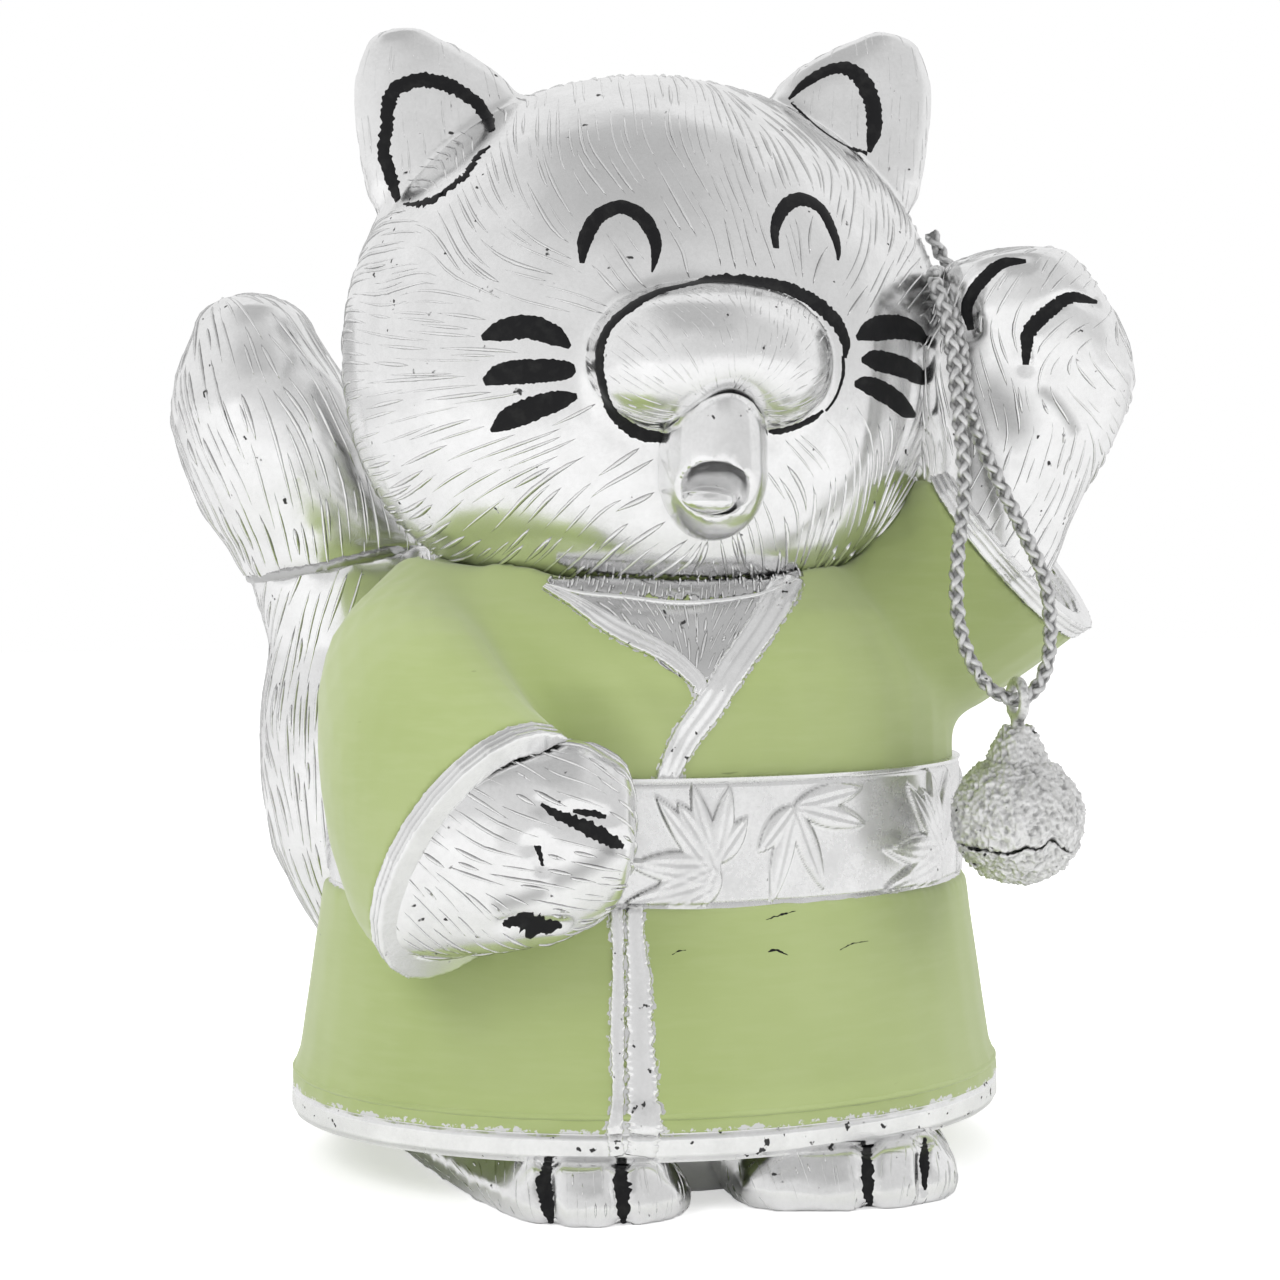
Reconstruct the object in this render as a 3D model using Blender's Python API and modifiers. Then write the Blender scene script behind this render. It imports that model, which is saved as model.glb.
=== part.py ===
"""Silver-plated lucky cat figurine in a green kimono, with a jingle bell on a cord.

Metres, +Z up. The cat faces -Y, its raised paw is on the +X side, and the origin
is the centre of the flat underside that it stands on.
"""

import math

import bmesh
import bpy
import numpy as np
from mathutils import Matrix, Vector

MM = 0.001


def mm(*values):
    """Millimetres as metres."""
    return tuple(value * MM for value in values)


# Clearances
GAP = 0.3 * MM  # between pieces that touch
CORD_PLAY = 0.4 * MM  # round the cord in the bell's eye

# Feet and base
FOOT_HEIGHT = 5.4 * MM
FOOT_WIDTH = 21.6 * MM
FOOT_LENGTH = 38.0 * MM
FOOT_SPREAD = 15.2 * MM  # middle of the toes from the middle of the feet
FOOT_SHIFT = 2.2 * MM  # both feet stand a little towards the raised paw
BASE_WIDTH = 50.0 * MM
BASE_DEPTH = 52.0 * MM

# Kimono, half sizes of its oval sections and heights
HEM_WIDTH = 41.6 * MM
HEM_DEPTH = 34.0 * MM
HEM_HEIGHT = 3.0 * MM
SKIRT_HEIGHT = 22.3 * MM
WAIST_WIDTH = 37.4 * MM
WAIST_DEPTH = 29.0 * MM
BELT_HEIGHT = 13.4 * MM
BELT_PROUD = 0.4 * MM  # belt stands out past the skirt's top
CHEST_HEIGHT = 28.0 * MM
CHEST_WIDTH = 36.4 * MM
CHEST_DEPTH = 27.6 * MM
NECK_WIDTH = 20.0 * MM
NECK_DEPTH = 16.5 * MM
PLACKET_WIDTH = 2.3 * MM
PLACKET_SHIFT = -8.8 * MM  # middle of the two front strips
TRIM_PROUD = 0.8 * MM  # strips and collars above the cloth
COLLAR_WIDTH = 3.4 * MM
COLLAR_RISE = 21.6 * MM  # top of the collars above the chest's foot
COLLAR_DROP = 20.0 * MM  # length of the upper collar, straight down
CHEST_FUR_WIDTH = 26.0 * MM
CHEST_FUR_HEIGHT = 18.8 * MM
CHEST_FUR_DEPTH = 8.0 * MM
CHEST_FUR_RISE = 20.4 * MM  # middle of the fur above the chest's foot
CHEST_FUR_SINK = 0.6 * MM

# Head
HEAD_WIDTH = 35.8 * MM  # half sizes
HEAD_DEPTH = 28.5 * MM
CROWN_HEIGHT = 32.0 * MM
JAW_HEIGHT = 29.8 * MM
JAW_FULLNESS = 2.4  # seen from the front: 2 is an ellipse, higher is squarer
CHIN_FULLNESS = 3.6  # the same, seen from the side
HEAD_LIFT = 47.7 * MM  # widest line of the head above the belt
EAR_HEIGHT = 19.2 * MM
EAR_WIDTH = 22.0 * MM
EAR_THICKNESS = 9.0 * MM
HEAD_TILT = 1.0 * MM  # how far the left ear sits up and the right ear down
MUZZLE_WIDTH = 27.6 * MM
MUZZLE_HEIGHT = 17.0 * MM
MUZZLE_PROUD = 9.6 * MM
MUZZLE_DROP = 2.6 * MM  # below the head's widest line
JAW_LIP_WIDTH = 11.8 * MM
JAW_LIP_HEIGHT = 15.0 * MM
JAW_LIP_PROUD = 9.4 * MM
JAW_DROP = 14.6 * MM
MOUTH_WIDTH = 8.2 * MM
MOUTH_HEIGHT = 5.9 * MM
MOUTH_DEPTH = 5.0 * MM
MOUTH_SHIFT = -2.0 * MM  # the laugh is a little crooked
MOUTH_DROP = 2.1 * MM  # below the middle of the lip
TONGUE_WIDTH = 6.2 * MM
TONGUE_HEIGHT = 3.2 * MM

# Arms
LOWERED_SLEEVE_SIZE = 13.0 * MM  # half height of its mouth
RAISED_SLEEVE_SIZE = 14.0 * MM
CUFF_LENGTH = 2.6 * MM
SLEEVE_WALL = 2.0 * MM
SLEEVE_MOUTH = 6.0 * MM  # depth of the hollow behind a cuff
SLEEVE_TAPER = 2.0 * MM  # how much narrower the hollow is at its bottom
LOWERED_PAW_SIZE = 10.6 * MM
RAISED_PAW_SIZE = 10.2 * MM

# Tail
TAIL_RADIUS = 10.6 * MM
TAIL_BULB_RADIUS = 11.2 * MM
TAIL_REACH = 50.0 * MM  # last section of the bulb above the belt
TAIL_RING_HEIGHT = 1.2 * MM
TAIL_RING_PROUD = 0.35 * MM

# Belt bow
KNOT_WIDTH = 9.0 * MM
BOW_THICKNESS = 5.2 * MM
BOW_HEIGHT = 12.0 * MM
BOW_DROOP = 3.0 * MM

# Cord and bell
CORD_DIAMETER = 1.9 * MM
BELL_RADIUS = 7.3 * MM
BELL_WALL = 0.6 * MM
BELL_SEAM_DROP = 2.4 * MM
BELL_NECK_RADIUS = 1.7 * MM
BELL_NECK_HEIGHT = 2.9 * MM
BELL_SLOT = 1.3 * MM
EYE_WIRE = 1.3 * MM
STEM_RADIUS = 0.8 * MM
PEA_RADIUS = 2.1 * MM
KNOT_RADIUS = 2.1 * MM

# Heights that follow from the sizes above
HEM_Z = FOOT_HEIGHT + GAP
SKIRT_Z = HEM_Z + HEM_HEIGHT + GAP
SKIRT_TOP = SKIRT_Z + SKIRT_HEIGHT
BELT_Z = SKIRT_TOP + GAP
BELT_TOP = BELT_Z + BELT_HEIGHT
CHEST_Z = BELT_TOP + GAP
CHEST_TOP = CHEST_Z + CHEST_HEIGHT
HEAD_Z = BELT_TOP + HEAD_LIFT
MUZZLE_Z = HEAD_Z - MUZZLE_DROP
JAW_Z = HEAD_Z - JAW_DROP

PARTS = None
GUIDES = None


def clear_scene():
    """Remove whatever the file opened with."""
    for item in list(bpy.data.objects):
        bpy.data.objects.remove(item, do_unlink=True)


def make_collections():
    """The figurine's pieces go in one collection and the cutters in another."""
    global PARTS, GUIDES
    PARTS = bpy.data.collections.new("lucky_cat_figurine")
    GUIDES = bpy.data.collections.new("cutters")
    for group in (PARTS, GUIDES):
        bpy.context.scene.collection.children.link(group)


def finish(name, colour, roughness, metallic):
    """One Principled material."""
    material = bpy.data.materials.new(name)
    material.use_nodes = True
    shader = material.node_tree.nodes["Principled BSDF"]
    shader.inputs["Base Color"].default_value = (*colour, 1.0)
    shader.inputs["Roughness"].default_value = roughness
    shader.inputs["Metallic"].default_value = metallic
    material.diffuse_color = (*colour, 1.0)
    return material


def silver(name):
    return finish(f"{name}_silver", (0.86, 0.86, 0.87), 0.12, 1.0)


def green_paint(name):
    return finish(f"{name}_green", (0.42, 0.53, 0.20), 0.55, 0.0)


def place(bm, name, material=None):
    """Turn a bmesh into an object: a part where it has a material, else a cutter."""
    bmesh.ops.recalc_face_normals(bm, faces=bm.faces)
    mesh = bpy.data.meshes.new(name)
    bm.to_mesh(mesh)
    bm.free()
    mesh.shade_smooth()
    mesh.set_sharp_from_angle(angle=math.radians(40))
    item = bpy.data.objects.new(name, mesh)
    if material:
        mesh.materials.append(material)
        PARTS.objects.link(item)
    else:
        item.hide_render = True
        item.display_type = "WIRE"
        GUIDES.objects.link(item)
    return item


def boolean(target, tool, operation="DIFFERENCE"):
    """Cut or join a piece by another shape."""
    modifier = target.modifiers.new(f"{operation.lower()}_{tool.name}", "BOOLEAN")
    modifier.operation = operation
    modifier.object = tool
    modifier.solver = "EXACT"


def through(stations, steps):
    """A smooth run of rows through the stations' numbers."""
    keys = np.array([np.concatenate([np.array(part, float) for part in row]) for row in stations])
    padded = np.vstack([2 * keys[0] - keys[1], keys, 2 * keys[-1] - keys[-2]])
    rows = []
    for index in range(len(keys) - 1):
        before, start, end, after = padded[index : index + 4]
        slope = end - before
        bend = 2 * before - 5 * start + 4 * end - after
        twist = 3 * start - before - 3 * end + after
        for step in range(steps):
            t = step / steps
            rows.append(start + 0.5 * (slope * t + bend * t**2 + twist * t**3))
    rows.append(keys[-1])
    return np.array(rows)


def lengthened(vector, extra):
    size = np.linalg.norm(vector)
    return vector * (size + extra) / size


def round_end(centre, up, out, direction, length, rings):
    """Rings that close a form with a dome, without its last point."""
    rows = []
    for ring in range(1, rings):
        angle = 0.5 * math.pi * ring / rings
        shrink = math.cos(angle)
        rows.append((centre + direction * length * math.sin(angle), up * shrink, out * shrink))
    return rows, centre + direction * length


def loft(stations, sides=20, steps=3, ends=(0.0, 0.0), grow=0.0, dome=3):
    """A closed form through oval sections.

    A station is its centre and two half-axis vectors. ends gives the height of the
    dome on each end, where 0 is a flat end. grow swells the form all round.
    """
    rows = through(stations, steps)
    rings = [(row[0:3], lengthened(row[3:6], grow), lengthened(row[6:9], grow)) for row in rows]
    poles = [None, None]
    for side, (last, inner) in enumerate(((0, 1), (-1, -2))):
        direction = rings[last][0] - rings[inner][0]
        direction = direction / np.linalg.norm(direction)
        centre, up, out = rings[last]
        if ends[side] > 0:
            extra, poles[side] = round_end(centre, up, out, direction, ends[side] + grow, dome)
            rings = extra[::-1] + rings if side == 0 else rings + extra
        elif grow:
            rings[last] = (centre + direction * grow, up, out)
    bm = bmesh.new()
    loops = []
    for centre, up, out in rings:
        turns = [2 * math.pi * k / sides for k in range(sides)]
        loops.append([bm.verts.new(centre + up * math.cos(t) + out * math.sin(t)) for t in turns])
    for low, high in zip(loops, loops[1:]):
        for k in range(sides):
            following = (k + 1) % sides
            bm.faces.new((low[k], low[following], high[following], high[k]))
    for loop, pole in ((loops[0], poles[0]), (loops[-1], poles[1])):
        if pole is None:
            bm.faces.new(loop)
            continue
        tip = bm.verts.new(pole)
        for k in range(sides):
            bm.faces.new((loop[k], loop[(k + 1) % sides], tip))
    return bm


def oval_slab(levels, sides=40, centre_y=0.0):
    """A flat-ended body of upright oval levels: (height, half width, half depth)."""
    stations = [((0.0, centre_y, z), (width, 0.0, 0.0), (0.0, depth, 0.0)) for z, width, depth in levels]
    return loft(stations, sides=sides, steps=1)


def ball(centre, radii, segments=20, rings=12):
    """An ellipsoid from a sphere primitive."""
    bm = bmesh.new()
    bmesh.ops.create_uvsphere(bm, u_segments=segments, v_segments=rings, radius=1.0)
    bmesh.ops.scale(bm, vec=radii, verts=bm.verts)
    bmesh.ops.translate(bm, vec=centre, verts=bm.verts)
    return bm


def slice_off(bm, point, normal):
    """Cut away what lies past a plane and close the cut."""
    everything = bm.verts[:] + bm.edges[:] + bm.faces[:]
    cut = bmesh.ops.bisect_plane(bm, geom=everything, plane_co=point, plane_no=normal, clear_outer=True)
    edges = [piece for piece in cut["geom_cut"] if isinstance(piece, bmesh.types.BMEdge)]
    bmesh.ops.holes_fill(bm, edges=edges)


def body_section(height):
    """Half width and half depth of the clothed body at a height."""
    levels = (
        (HEM_Z, HEM_WIDTH, HEM_DEPTH),
        (SKIRT_TOP, WAIST_WIDTH + 0.6 * MM, WAIST_DEPTH + 0.5 * MM),
        (CHEST_Z, CHEST_WIDTH, CHEST_DEPTH),
        (CHEST_Z + 0.35 * CHEST_HEIGHT, CHEST_WIDTH - 0.4 * MM, CHEST_DEPTH),
        (CHEST_Z + 0.62 * CHEST_HEIGHT, 0.5 * (CHEST_WIDTH + NECK_WIDTH) + 3 * MM, CHEST_DEPTH - 2.0 * MM),
        (CHEST_Z + 0.85 * CHEST_HEIGHT, NECK_WIDTH + 4 * MM, NECK_DEPTH + 3.6 * MM),
        (CHEST_TOP, NECK_WIDTH, NECK_DEPTH),
    )
    heights = [level[0] for level in levels]
    width = np.interp(height, heights, [level[1] for level in levels])
    depth = np.interp(height, heights, [level[2] for level in levels])
    return float(width), float(depth)


def front_of_body(x, z):
    """Y of the kimono's front at a place across and up."""
    width, depth = body_section(z)
    return -depth * math.sqrt(max(0.0, 1 - (x / width) ** 2))


def torso_form(grow=0.0):
    """The kimono above the belt."""
    levels = []
    for share in (0.0, 0.2, 0.35, 0.5, 0.62, 0.74, 0.85, 1.0):
        z = CHEST_Z + share * CHEST_HEIGHT
        width, depth = body_section(z)
        levels.append((z - grow if share == 0.0 else z, width + grow, depth + grow))
    return oval_slab(levels)


def skirt_form(grow=0.0):
    """The kimono below the belt."""
    levels = []
    for share, past in ((0.0, -grow), (0.3, 0.0), (0.65, 0.0), (1.0, grow)):
        z = SKIRT_Z + share * SKIRT_HEIGHT
        width, depth = body_section(z)
        levels.append((z + past, width + grow, depth + grow))
    return oval_slab(levels)


def body_form(grow=0.0):
    """Everything that the robe and belt fill together, as one shape to cut by."""
    levels = [(SKIRT_Z - grow, *body_section(SKIRT_Z)), (SKIRT_TOP - GAP, *body_section(SKIRT_TOP))]
    for z in (BELT_Z - grow, BELT_TOP + grow):
        levels.append((z, WAIST_WIDTH + BELT_PROUD, WAIST_DEPTH + BELT_PROUD))
    for share in (0.03, 0.2, 0.35, 0.5, 0.62, 0.74, 0.85, 1.0):
        z = CHEST_Z + share * CHEST_HEIGHT
        levels.append((z, *body_section(z)))
    return oval_slab([(z, width + grow, depth + grow) for z, width, depth in levels])


def belt_form(grow=0.0):
    edge = 0.5 * MM
    rows = (
        (BELT_Z - grow, -edge),
        (BELT_Z + edge - grow, 0.0),
        (BELT_TOP - edge + grow, 0.0),
        (BELT_TOP + grow, -edge),
    )
    out = BELT_PROUD + grow
    return oval_slab([(z, WAIST_WIDTH + out + inset, WAIST_DEPTH + out + inset) for z, inset in rows])


def hem_form(grow=0.0):
    edge = 0.6 * MM
    rows = (
        (HEM_Z - grow, -edge),
        (HEM_Z + edge - grow, 0.0),
        (HEM_Z + HEM_HEIGHT - edge + grow, 0.0),
        (HEM_Z + HEM_HEIGHT + grow, -edge),
    )
    return oval_slab([(z, HEM_WIDTH + grow + inset, HEM_DEPTH + grow + inset) for z, inset in rows])


def head_ring(rise, fullness):
    """Share of the head's half size that is left at a rise from -1 to 1."""
    power = 2.0 if rise > 0 else fullness
    return (1 - min(1.0, abs(rise)) ** power) ** (1 / power)


def head_form(grow=0.0, segments=32, rings=20):
    """A sphere drawn up into a domed crown and a fuller, squarer jaw."""
    bm = bmesh.new()
    bmesh.ops.create_uvsphere(bm, u_segments=segments, v_segments=rings, radius=1.0)
    for vert in bm.verts:
        x, y, z = vert.co
        flat = max(math.hypot(x, y), 1e-6)
        height = (CROWN_HEIGHT if z > 0 else JAW_HEIGHT) + grow
        width = (HEAD_WIDTH + grow) * head_ring(z, JAW_FULLNESS)
        depth = (HEAD_DEPTH + grow) * head_ring(z, CHIN_FULLNESS)
        vert.co = (x / flat * width, y / flat * depth, HEAD_Z + z * height)
    return bm


def front_of_head(x, z):
    """Y of the face at a place across and up."""
    rise = (z - HEAD_Z) / (CROWN_HEIGHT if z > HEAD_Z else JAW_HEIGHT)
    width = HEAD_WIDTH * head_ring(rise, JAW_FULLNESS)
    return -HEAD_DEPTH * head_ring(rise, CHIN_FULLNESS) * math.sqrt(max(0.0, 1 - (x / width) ** 2))


def muzzle_form(grow=0.0):
    centre_y = front_of_head(0.0, MUZZLE_Z) + 2.0 * MM
    radii = (0.5 * MUZZLE_WIDTH + grow, MUZZLE_PROUD + 2.0 * MM + grow, 0.5 * MUZZLE_HEIGHT + grow)
    return ball((0.0, centre_y, MUZZLE_Z), radii, 24, 14)


def mouth_place():
    """Middle of the mouth, on the lip's front."""
    across, down = MOUTH_SHIFT / (0.5 * JAW_LIP_WIDTH), MOUTH_DROP / (0.5 * JAW_LIP_HEIGHT)
    proud = JAW_LIP_PROUD * math.sqrt(1 - across**2 - down**2)
    return (MOUTH_SHIFT, front_of_head(0.0, JAW_Z) - proud, JAW_Z - MOUTH_DROP)


def jaw_form(grow=0.0):
    centre = (0.0, front_of_head(0.0, JAW_Z), JAW_Z)
    radii = (0.5 * JAW_LIP_WIDTH + grow, JAW_LIP_PROUD + grow, 0.5 * JAW_LIP_HEIGHT + grow)
    return ball(centre, radii, 20, 14)


def mouth_form(grow=0.0):
    radii = (0.5 * MOUTH_WIDTH + grow, MOUTH_DEPTH + grow, 0.5 * MOUTH_HEIGHT + grow)
    return ball(mouth_place(), radii, 16, 10)


def ear_form(side, grow=0.0):
    """A rounded three-cornered ear on the crown; side is -1 for the cat's right."""
    root_z = HEAD_Z + 0.56 * CROWN_HEIGHT + side * HEAD_TILT
    root = Vector((0.64 * HEAD_WIDTH, -0.035 * HEAD_DEPTH, root_z))
    shares = (
        # up, outward, half width, its slope, thickness
        (0.0, -2.0, 1.0, -0.72, 1.0),
        (0.28, 0.6, 1.0, -0.56, 0.92),
        (0.58, 3.0, 0.83, -0.36, 0.76),
        (0.80, 5.4, 0.60, -0.28, 0.60),
        (0.93, 6.7, 0.36, -0.24, 0.44),
    )
    rows = []
    for up, outward, width, slope, thickness in shares:
        across = Vector((1.0, 0.0, slope)).normalized() * 0.5 * EAR_WIDTH * width
        rows.append(
            (
                (side * (root.x + outward * MM), root.y, root.z + up * EAR_HEIGHT),
                (side * across.x, 0.0, across.z),
                (0.0, 0.5 * EAR_THICKNESS * thickness, 0.0),
            )
        )
    return loft(rows, sides=24, steps=2, ends=(0.0, 0.09 * EAR_HEIGHT), grow=grow)


def sleeve_rows(side):
    """Sections of a sleeve: centre, half-axis along the mouth, half-axis across it.

    The sleeve leaves the chest, and its mouth lies on the belt or beside the head.
    """
    chest, waist, head = (CHEST_WIDTH, CHEST_DEPTH), (WAIST_WIDTH, WAIST_DEPTH), (HEAD_WIDTH, HEAD_DEPTH)
    if side < 0:
        size = LOWERED_SLEEVE_SIZE
        shares = (
            # what it follows, across, forward, height over the chest, half-axes along and across
            (chest, -0.56, -0.02, 1.231, (0.154, -0.769, 0.231), (-0.692, -0.077, 0.538)),
            (chest, -0.76, -0.24, 0.808, (0.231, -0.692, 0.615), (-0.792, -0.077, 0.308)),
            (chest, -0.82, -0.6, 0.231, (0.308, -0.5, 0.962), (-0.738, -0.2, 0.169)),
            (waist, -0.759, -0.838, -0.262, (0.477, -0.308, 1.0), (-0.646, -0.323, 0.2)),
            (waist, -0.701, -1.009, -0.477, (0.569, -0.231, 0.954), (-0.6, -0.377, 0.246)),
        )
    else:
        size = RAISED_SLEEVE_SIZE
        shares = (
            (chest, 0.52, -0.08, 0.9, (0.0, 0.071, -0.971), (0.071, 0.893, 0.0)),
            (chest, 0.79, -0.2, 1.114, (0.186, 0.143, -1.0), (0.114, 0.8, 0.071)),
            (head, 0.996, -0.31, 1.464, (0.543, 0.214, -0.829), (0.186, 0.686, 0.171)),
            (head, 1.108, -0.407, 1.686, (0.757, 0.286, -0.657), (0.214, 0.614, 0.243)),
        )
    return [
        (
            (across * follows[0], forward * follows[1], CHEST_Z + rise * size),
            tuple(size * share for share in along),
            tuple(size * share for share in out),
        )
        for follows, across, forward, rise, along, out in shares
    ]


def sleeve_mouth(side):
    """Centre, half-axes and outward direction of a sleeve's mouth."""
    rows = sleeve_rows(side)
    centre, up, out = (np.array(part) for part in rows[-1])
    direction = centre - np.array(rows[-2][0])
    return centre, up, out, direction / np.linalg.norm(direction)


def sleeve_form(side, grow=0.0):
    return loft(sleeve_rows(side), sides=24, steps=3, grow=grow)


def cuff_form(side, start, end, swell, taper=0.0):
    """A ring or plug at a sleeve's mouth, from start to end along the sleeve."""
    centre, up, out, direction = sleeve_mouth(side)
    rows = []
    for along, inset in ((start, taper), (end, 0.0)):
        wider = swell - inset
        rows.append((centre + direction * along, lengthened(up, wider), lengthened(out, wider)))
    return loft(rows, sides=24, steps=1)


def lowered_paw_form(grow=0.0):
    """The paw fills its sleeve's mouth and narrows to the toes on the belt."""
    size = LOWERED_PAW_SIZE
    centre = sleeve_mouth(-1)[0]
    shares = (
        # place from the sleeve's mouth, half height with its lean, half depth with its slant
        ((-0.283, 0.849, 0.283), (0.2, -0.08, 0.6), (-0.2, -0.52)),
        ((0.0, 0.13, 0.03), (0.54, -0.22, 0.93), (-0.3, -0.58)),
        ((0.42, -0.1, -0.03), (0.4, -0.14, 1.06), (-0.22, -0.62)),
        ((0.9, -0.24, 0.02), (0.18, -0.05, 1.02), (-0.1, -0.62)),
        ((1.27, -0.27, 0.07), (0.05, 0.0, 0.84), (-0.04, -0.54)),
    )
    rows = [
        (centre + size * np.array(step), tuple(size * v for v in tall), (slant * size, deep * size, 0.0))
        for step, tall, (slant, deep) in shares
    ]
    return loft(rows, sides=20, steps=3, ends=(0.19 * size, 0.32 * size), grow=grow)


def raised_paw_form(grow=0.0):
    size = RAISED_PAW_SIZE
    centre = sleeve_mouth(1)[0]
    shares = (
        # place from the sleeve's mouth, half width, its slope, half depth
        ((-0.255, 0.235, -0.588), 0.56, 0.0, 0.58),
        ((0.137, 0.039, 0.392), 0.64, 0.0, 0.68),
        ((0.304, -0.196, 1.275), 0.93, 0.0, 0.84),
        ((0.343, -0.392, 2.059), 1.07, 0.0, 0.92),
        ((0.088, -0.569, 2.745), 0.96, 0.06, 0.84),
        ((-0.157, -0.686, 3.235), 0.72, 0.12, 0.62),
    )
    rows = [
        (centre + size * np.array(step), (wide * size, 0.0, slope * size), (0.0, deep * size, 0.0))
        for step, wide, slope, deep in shares
    ]
    return loft(rows, sides=20, steps=2, ends=(0.2 * size, 0.22 * size), grow=grow)


def tail_rows():
    """Sections up the tail, from its root behind the skirt to the bulb."""
    shares = (
        # across, back, height over the belt, radius, its slope
        (-0.74, 0.80, -0.454, 0.62 * TAIL_RADIUS, 0.32),
        (-0.84, 0.88, -0.228, 0.92 * TAIL_RADIUS, 0.11),
        (-0.86, 0.90, 0.04, TAIL_RADIUS, 0.0),
        (-0.84, 0.90, 0.26, 0.96 * TAIL_RADIUS, 0.10),
        (-0.90, 0.88, 0.44, 0.96 * TAIL_RADIUS, 0.21),
        (-1.06, 0.84, 0.66, TAIL_BULB_RADIUS, 0.20),
        (-1.15, 0.80, 0.86, 0.97 * TAIL_BULB_RADIUS, 0.10),
        (-1.17, 0.78, 1.0, 0.68 * TAIL_BULB_RADIUS, 0.0),
    )
    return [
        (
            (across * WAIST_WIDTH, back * WAIST_DEPTH, BELT_TOP + rise * TAIL_REACH),
            (radius, 0.0, slope * radius),
            (0.0, radius, 0.0),
        )
        for across, back, rise, radius, slope in shares
    ]


def tail_form(part, grow=0.0):
    """The lower tail, the upper tail, or the raised ring where they meet."""
    rows = tail_rows()
    meet = 4
    if part == "lower":
        return loft(rows[: meet + 1], sides=20, steps=3, ends=(0.4 * TAIL_RADIUS, 0.0), grow=grow)
    seat = np.array(rows[meet][0])
    direction = np.array(rows[meet + 1][0]) - np.array(rows[meet - 1][0])
    direction = direction / np.linalg.norm(direction)
    up, out = np.array(rows[meet][1]), np.array(rows[meet][2])
    ring_end = seat + direction * (GAP + TAIL_RING_HEIGHT)
    if part == "ring":
        swell = TAIL_RING_PROUD + grow
        levels = (seat + direction * GAP, ring_end)
        rows = [(level, lengthened(up, swell), lengthened(out, swell)) for level in levels]
        return loft(rows, sides=20, steps=1)
    upper = [(ring_end + direction * GAP, up, out)] + rows[meet + 1 :]
    return loft(upper, sides=20, steps=3, ends=(0.0, 0.5 * TAIL_BULB_RADIUS), grow=grow)


def strip(points, half_width, thickness, grow=0.0):
    """A flat band that lies along points on the front, its outside facing out."""
    rows = []
    for index, point in enumerate(points):
        before = points[max(0, index - 1)]
        after = points[min(len(points) - 1, index + 1)]
        along = (Vector(after) - Vector(before)).normalized()
        outward = Vector((point[0] / CHEST_WIDTH**2, point[1] / CHEST_DEPTH**2, 0.0)).normalized()
        across = along.cross(outward).normalized() * half_width
        rows.append((point, tuple(across), tuple(outward * thickness)))
    return loft(rows, sides=12, steps=3, grow=grow)


def collar_points(which):
    """Route of a collar band over the chest, from the neck down to its end."""
    top = CHEST_Z + COLLAR_RISE
    shares = {
        "under": ((-0.511, 0.0), (-0.291, 0.3), (-0.071, 0.6)),
        "over": ((0.33, -0.03), (0.137, 0.27), (-0.055, 0.58), (-0.154, 1.0)),
    }
    places = [(across * CHEST_WIDTH, top - down * COLLAR_DROP) for across, down in shares[which]]
    return [(x, front_of_body(x, z) - 0.25 * TRIM_PROUD, z) for x, z in places]


def placket_points(shift):
    """Route of a front strip, from the hem band, which it rides over, up to the belt."""
    x = PLACKET_SHIFT + shift
    low, hem_top, high = HEM_Z + 0.8 * MM, HEM_Z + HEM_HEIGHT, SKIRT_TOP - GAP
    hem_front = 0.6 * TRIM_PROUD - HEM_DEPTH * math.sqrt(1 - (x / HEM_WIDTH) ** 2)
    points = [(x, min(front_of_body(x, z), hem_front), z) for z in (low, hem_top)]
    for step in range(1, 6):
        z = hem_top + (high - hem_top) * step / 5
        points.append((x, front_of_body(x, z), z))
    return points


def turned(profile, name, material=None, centre=(0.0, 0.0, 0.0), steps=24, closed=False):
    """A turned piece: a profile of (radius, height) spun round Z."""
    mesh = bpy.data.meshes.new(name)
    points = [(radius, 0.0, height) for radius, height in profile]
    edges = [(index, index + 1) for index in range(len(points) - 1)]
    if closed:
        edges.append((len(points) - 1, 0))
    mesh.from_pydata(points, edges, [])
    item = bpy.data.objects.new(name, mesh)
    item.location = centre
    screw = item.modifiers.new("turn", "SCREW")
    screw.steps = screw.render_steps = steps
    screw.use_merge_vertices = True
    screw.merge_threshold = 0.00005
    screw.use_normal_calculate = True
    if material:
        mesh.materials.append(material)
    PARTS.objects.link(item)
    return item


def arc(radius, start, end, count):
    """Points (radius out, height) on a circle, angles in degrees up from the equator."""
    angles = [math.radians(start + (end - start) * k / (count - 1)) for k in range(count)]
    return [(radius * math.cos(a), radius * math.sin(a)) for a in angles]


# The cord's route, chosen by hand: down the far strand, through the bell's eye and up again.
CORD_ROUTE = [
    Vector(mm(*point))
    for point in (
        (27.75, -21.5, 99.6),
        (27.4, -23.8, 98.4),
        (27.8, -25.4, 94.6),
        (28.4, -26.0, 90.0),
        (28.8, -26.3, 85.0),
        (29.3, -26.4, 80.0),
        (29.4, -26.5, 75.5),
        (28.7, -26.6, 70.0),
        (28.4, -26.8, 64.0),
        (29.4, -26.9, 58.8),
        (31.6, -27.0, 55.0),
        (33.6, -27.0, 53.5),
        (35.5, -27.0, 53.0),
        (37.2, -27.0, 53.7),
        (38.7, -27.0, 56.0),
        (39.4, -26.9, 60.0),
        (38.9, -26.7, 66.0),
        (36.4, -26.4, 71.6),
        (33.9, -25.7, 77.0),
        (31.8, -24.9, 82.0),
        (30.5, -24.4, 87.4),
        (30.0, -24.2, 91.6),
        (29.5, -23.2, 95.4),
        (28.9, -21.3, 97.3),
    )
]

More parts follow.
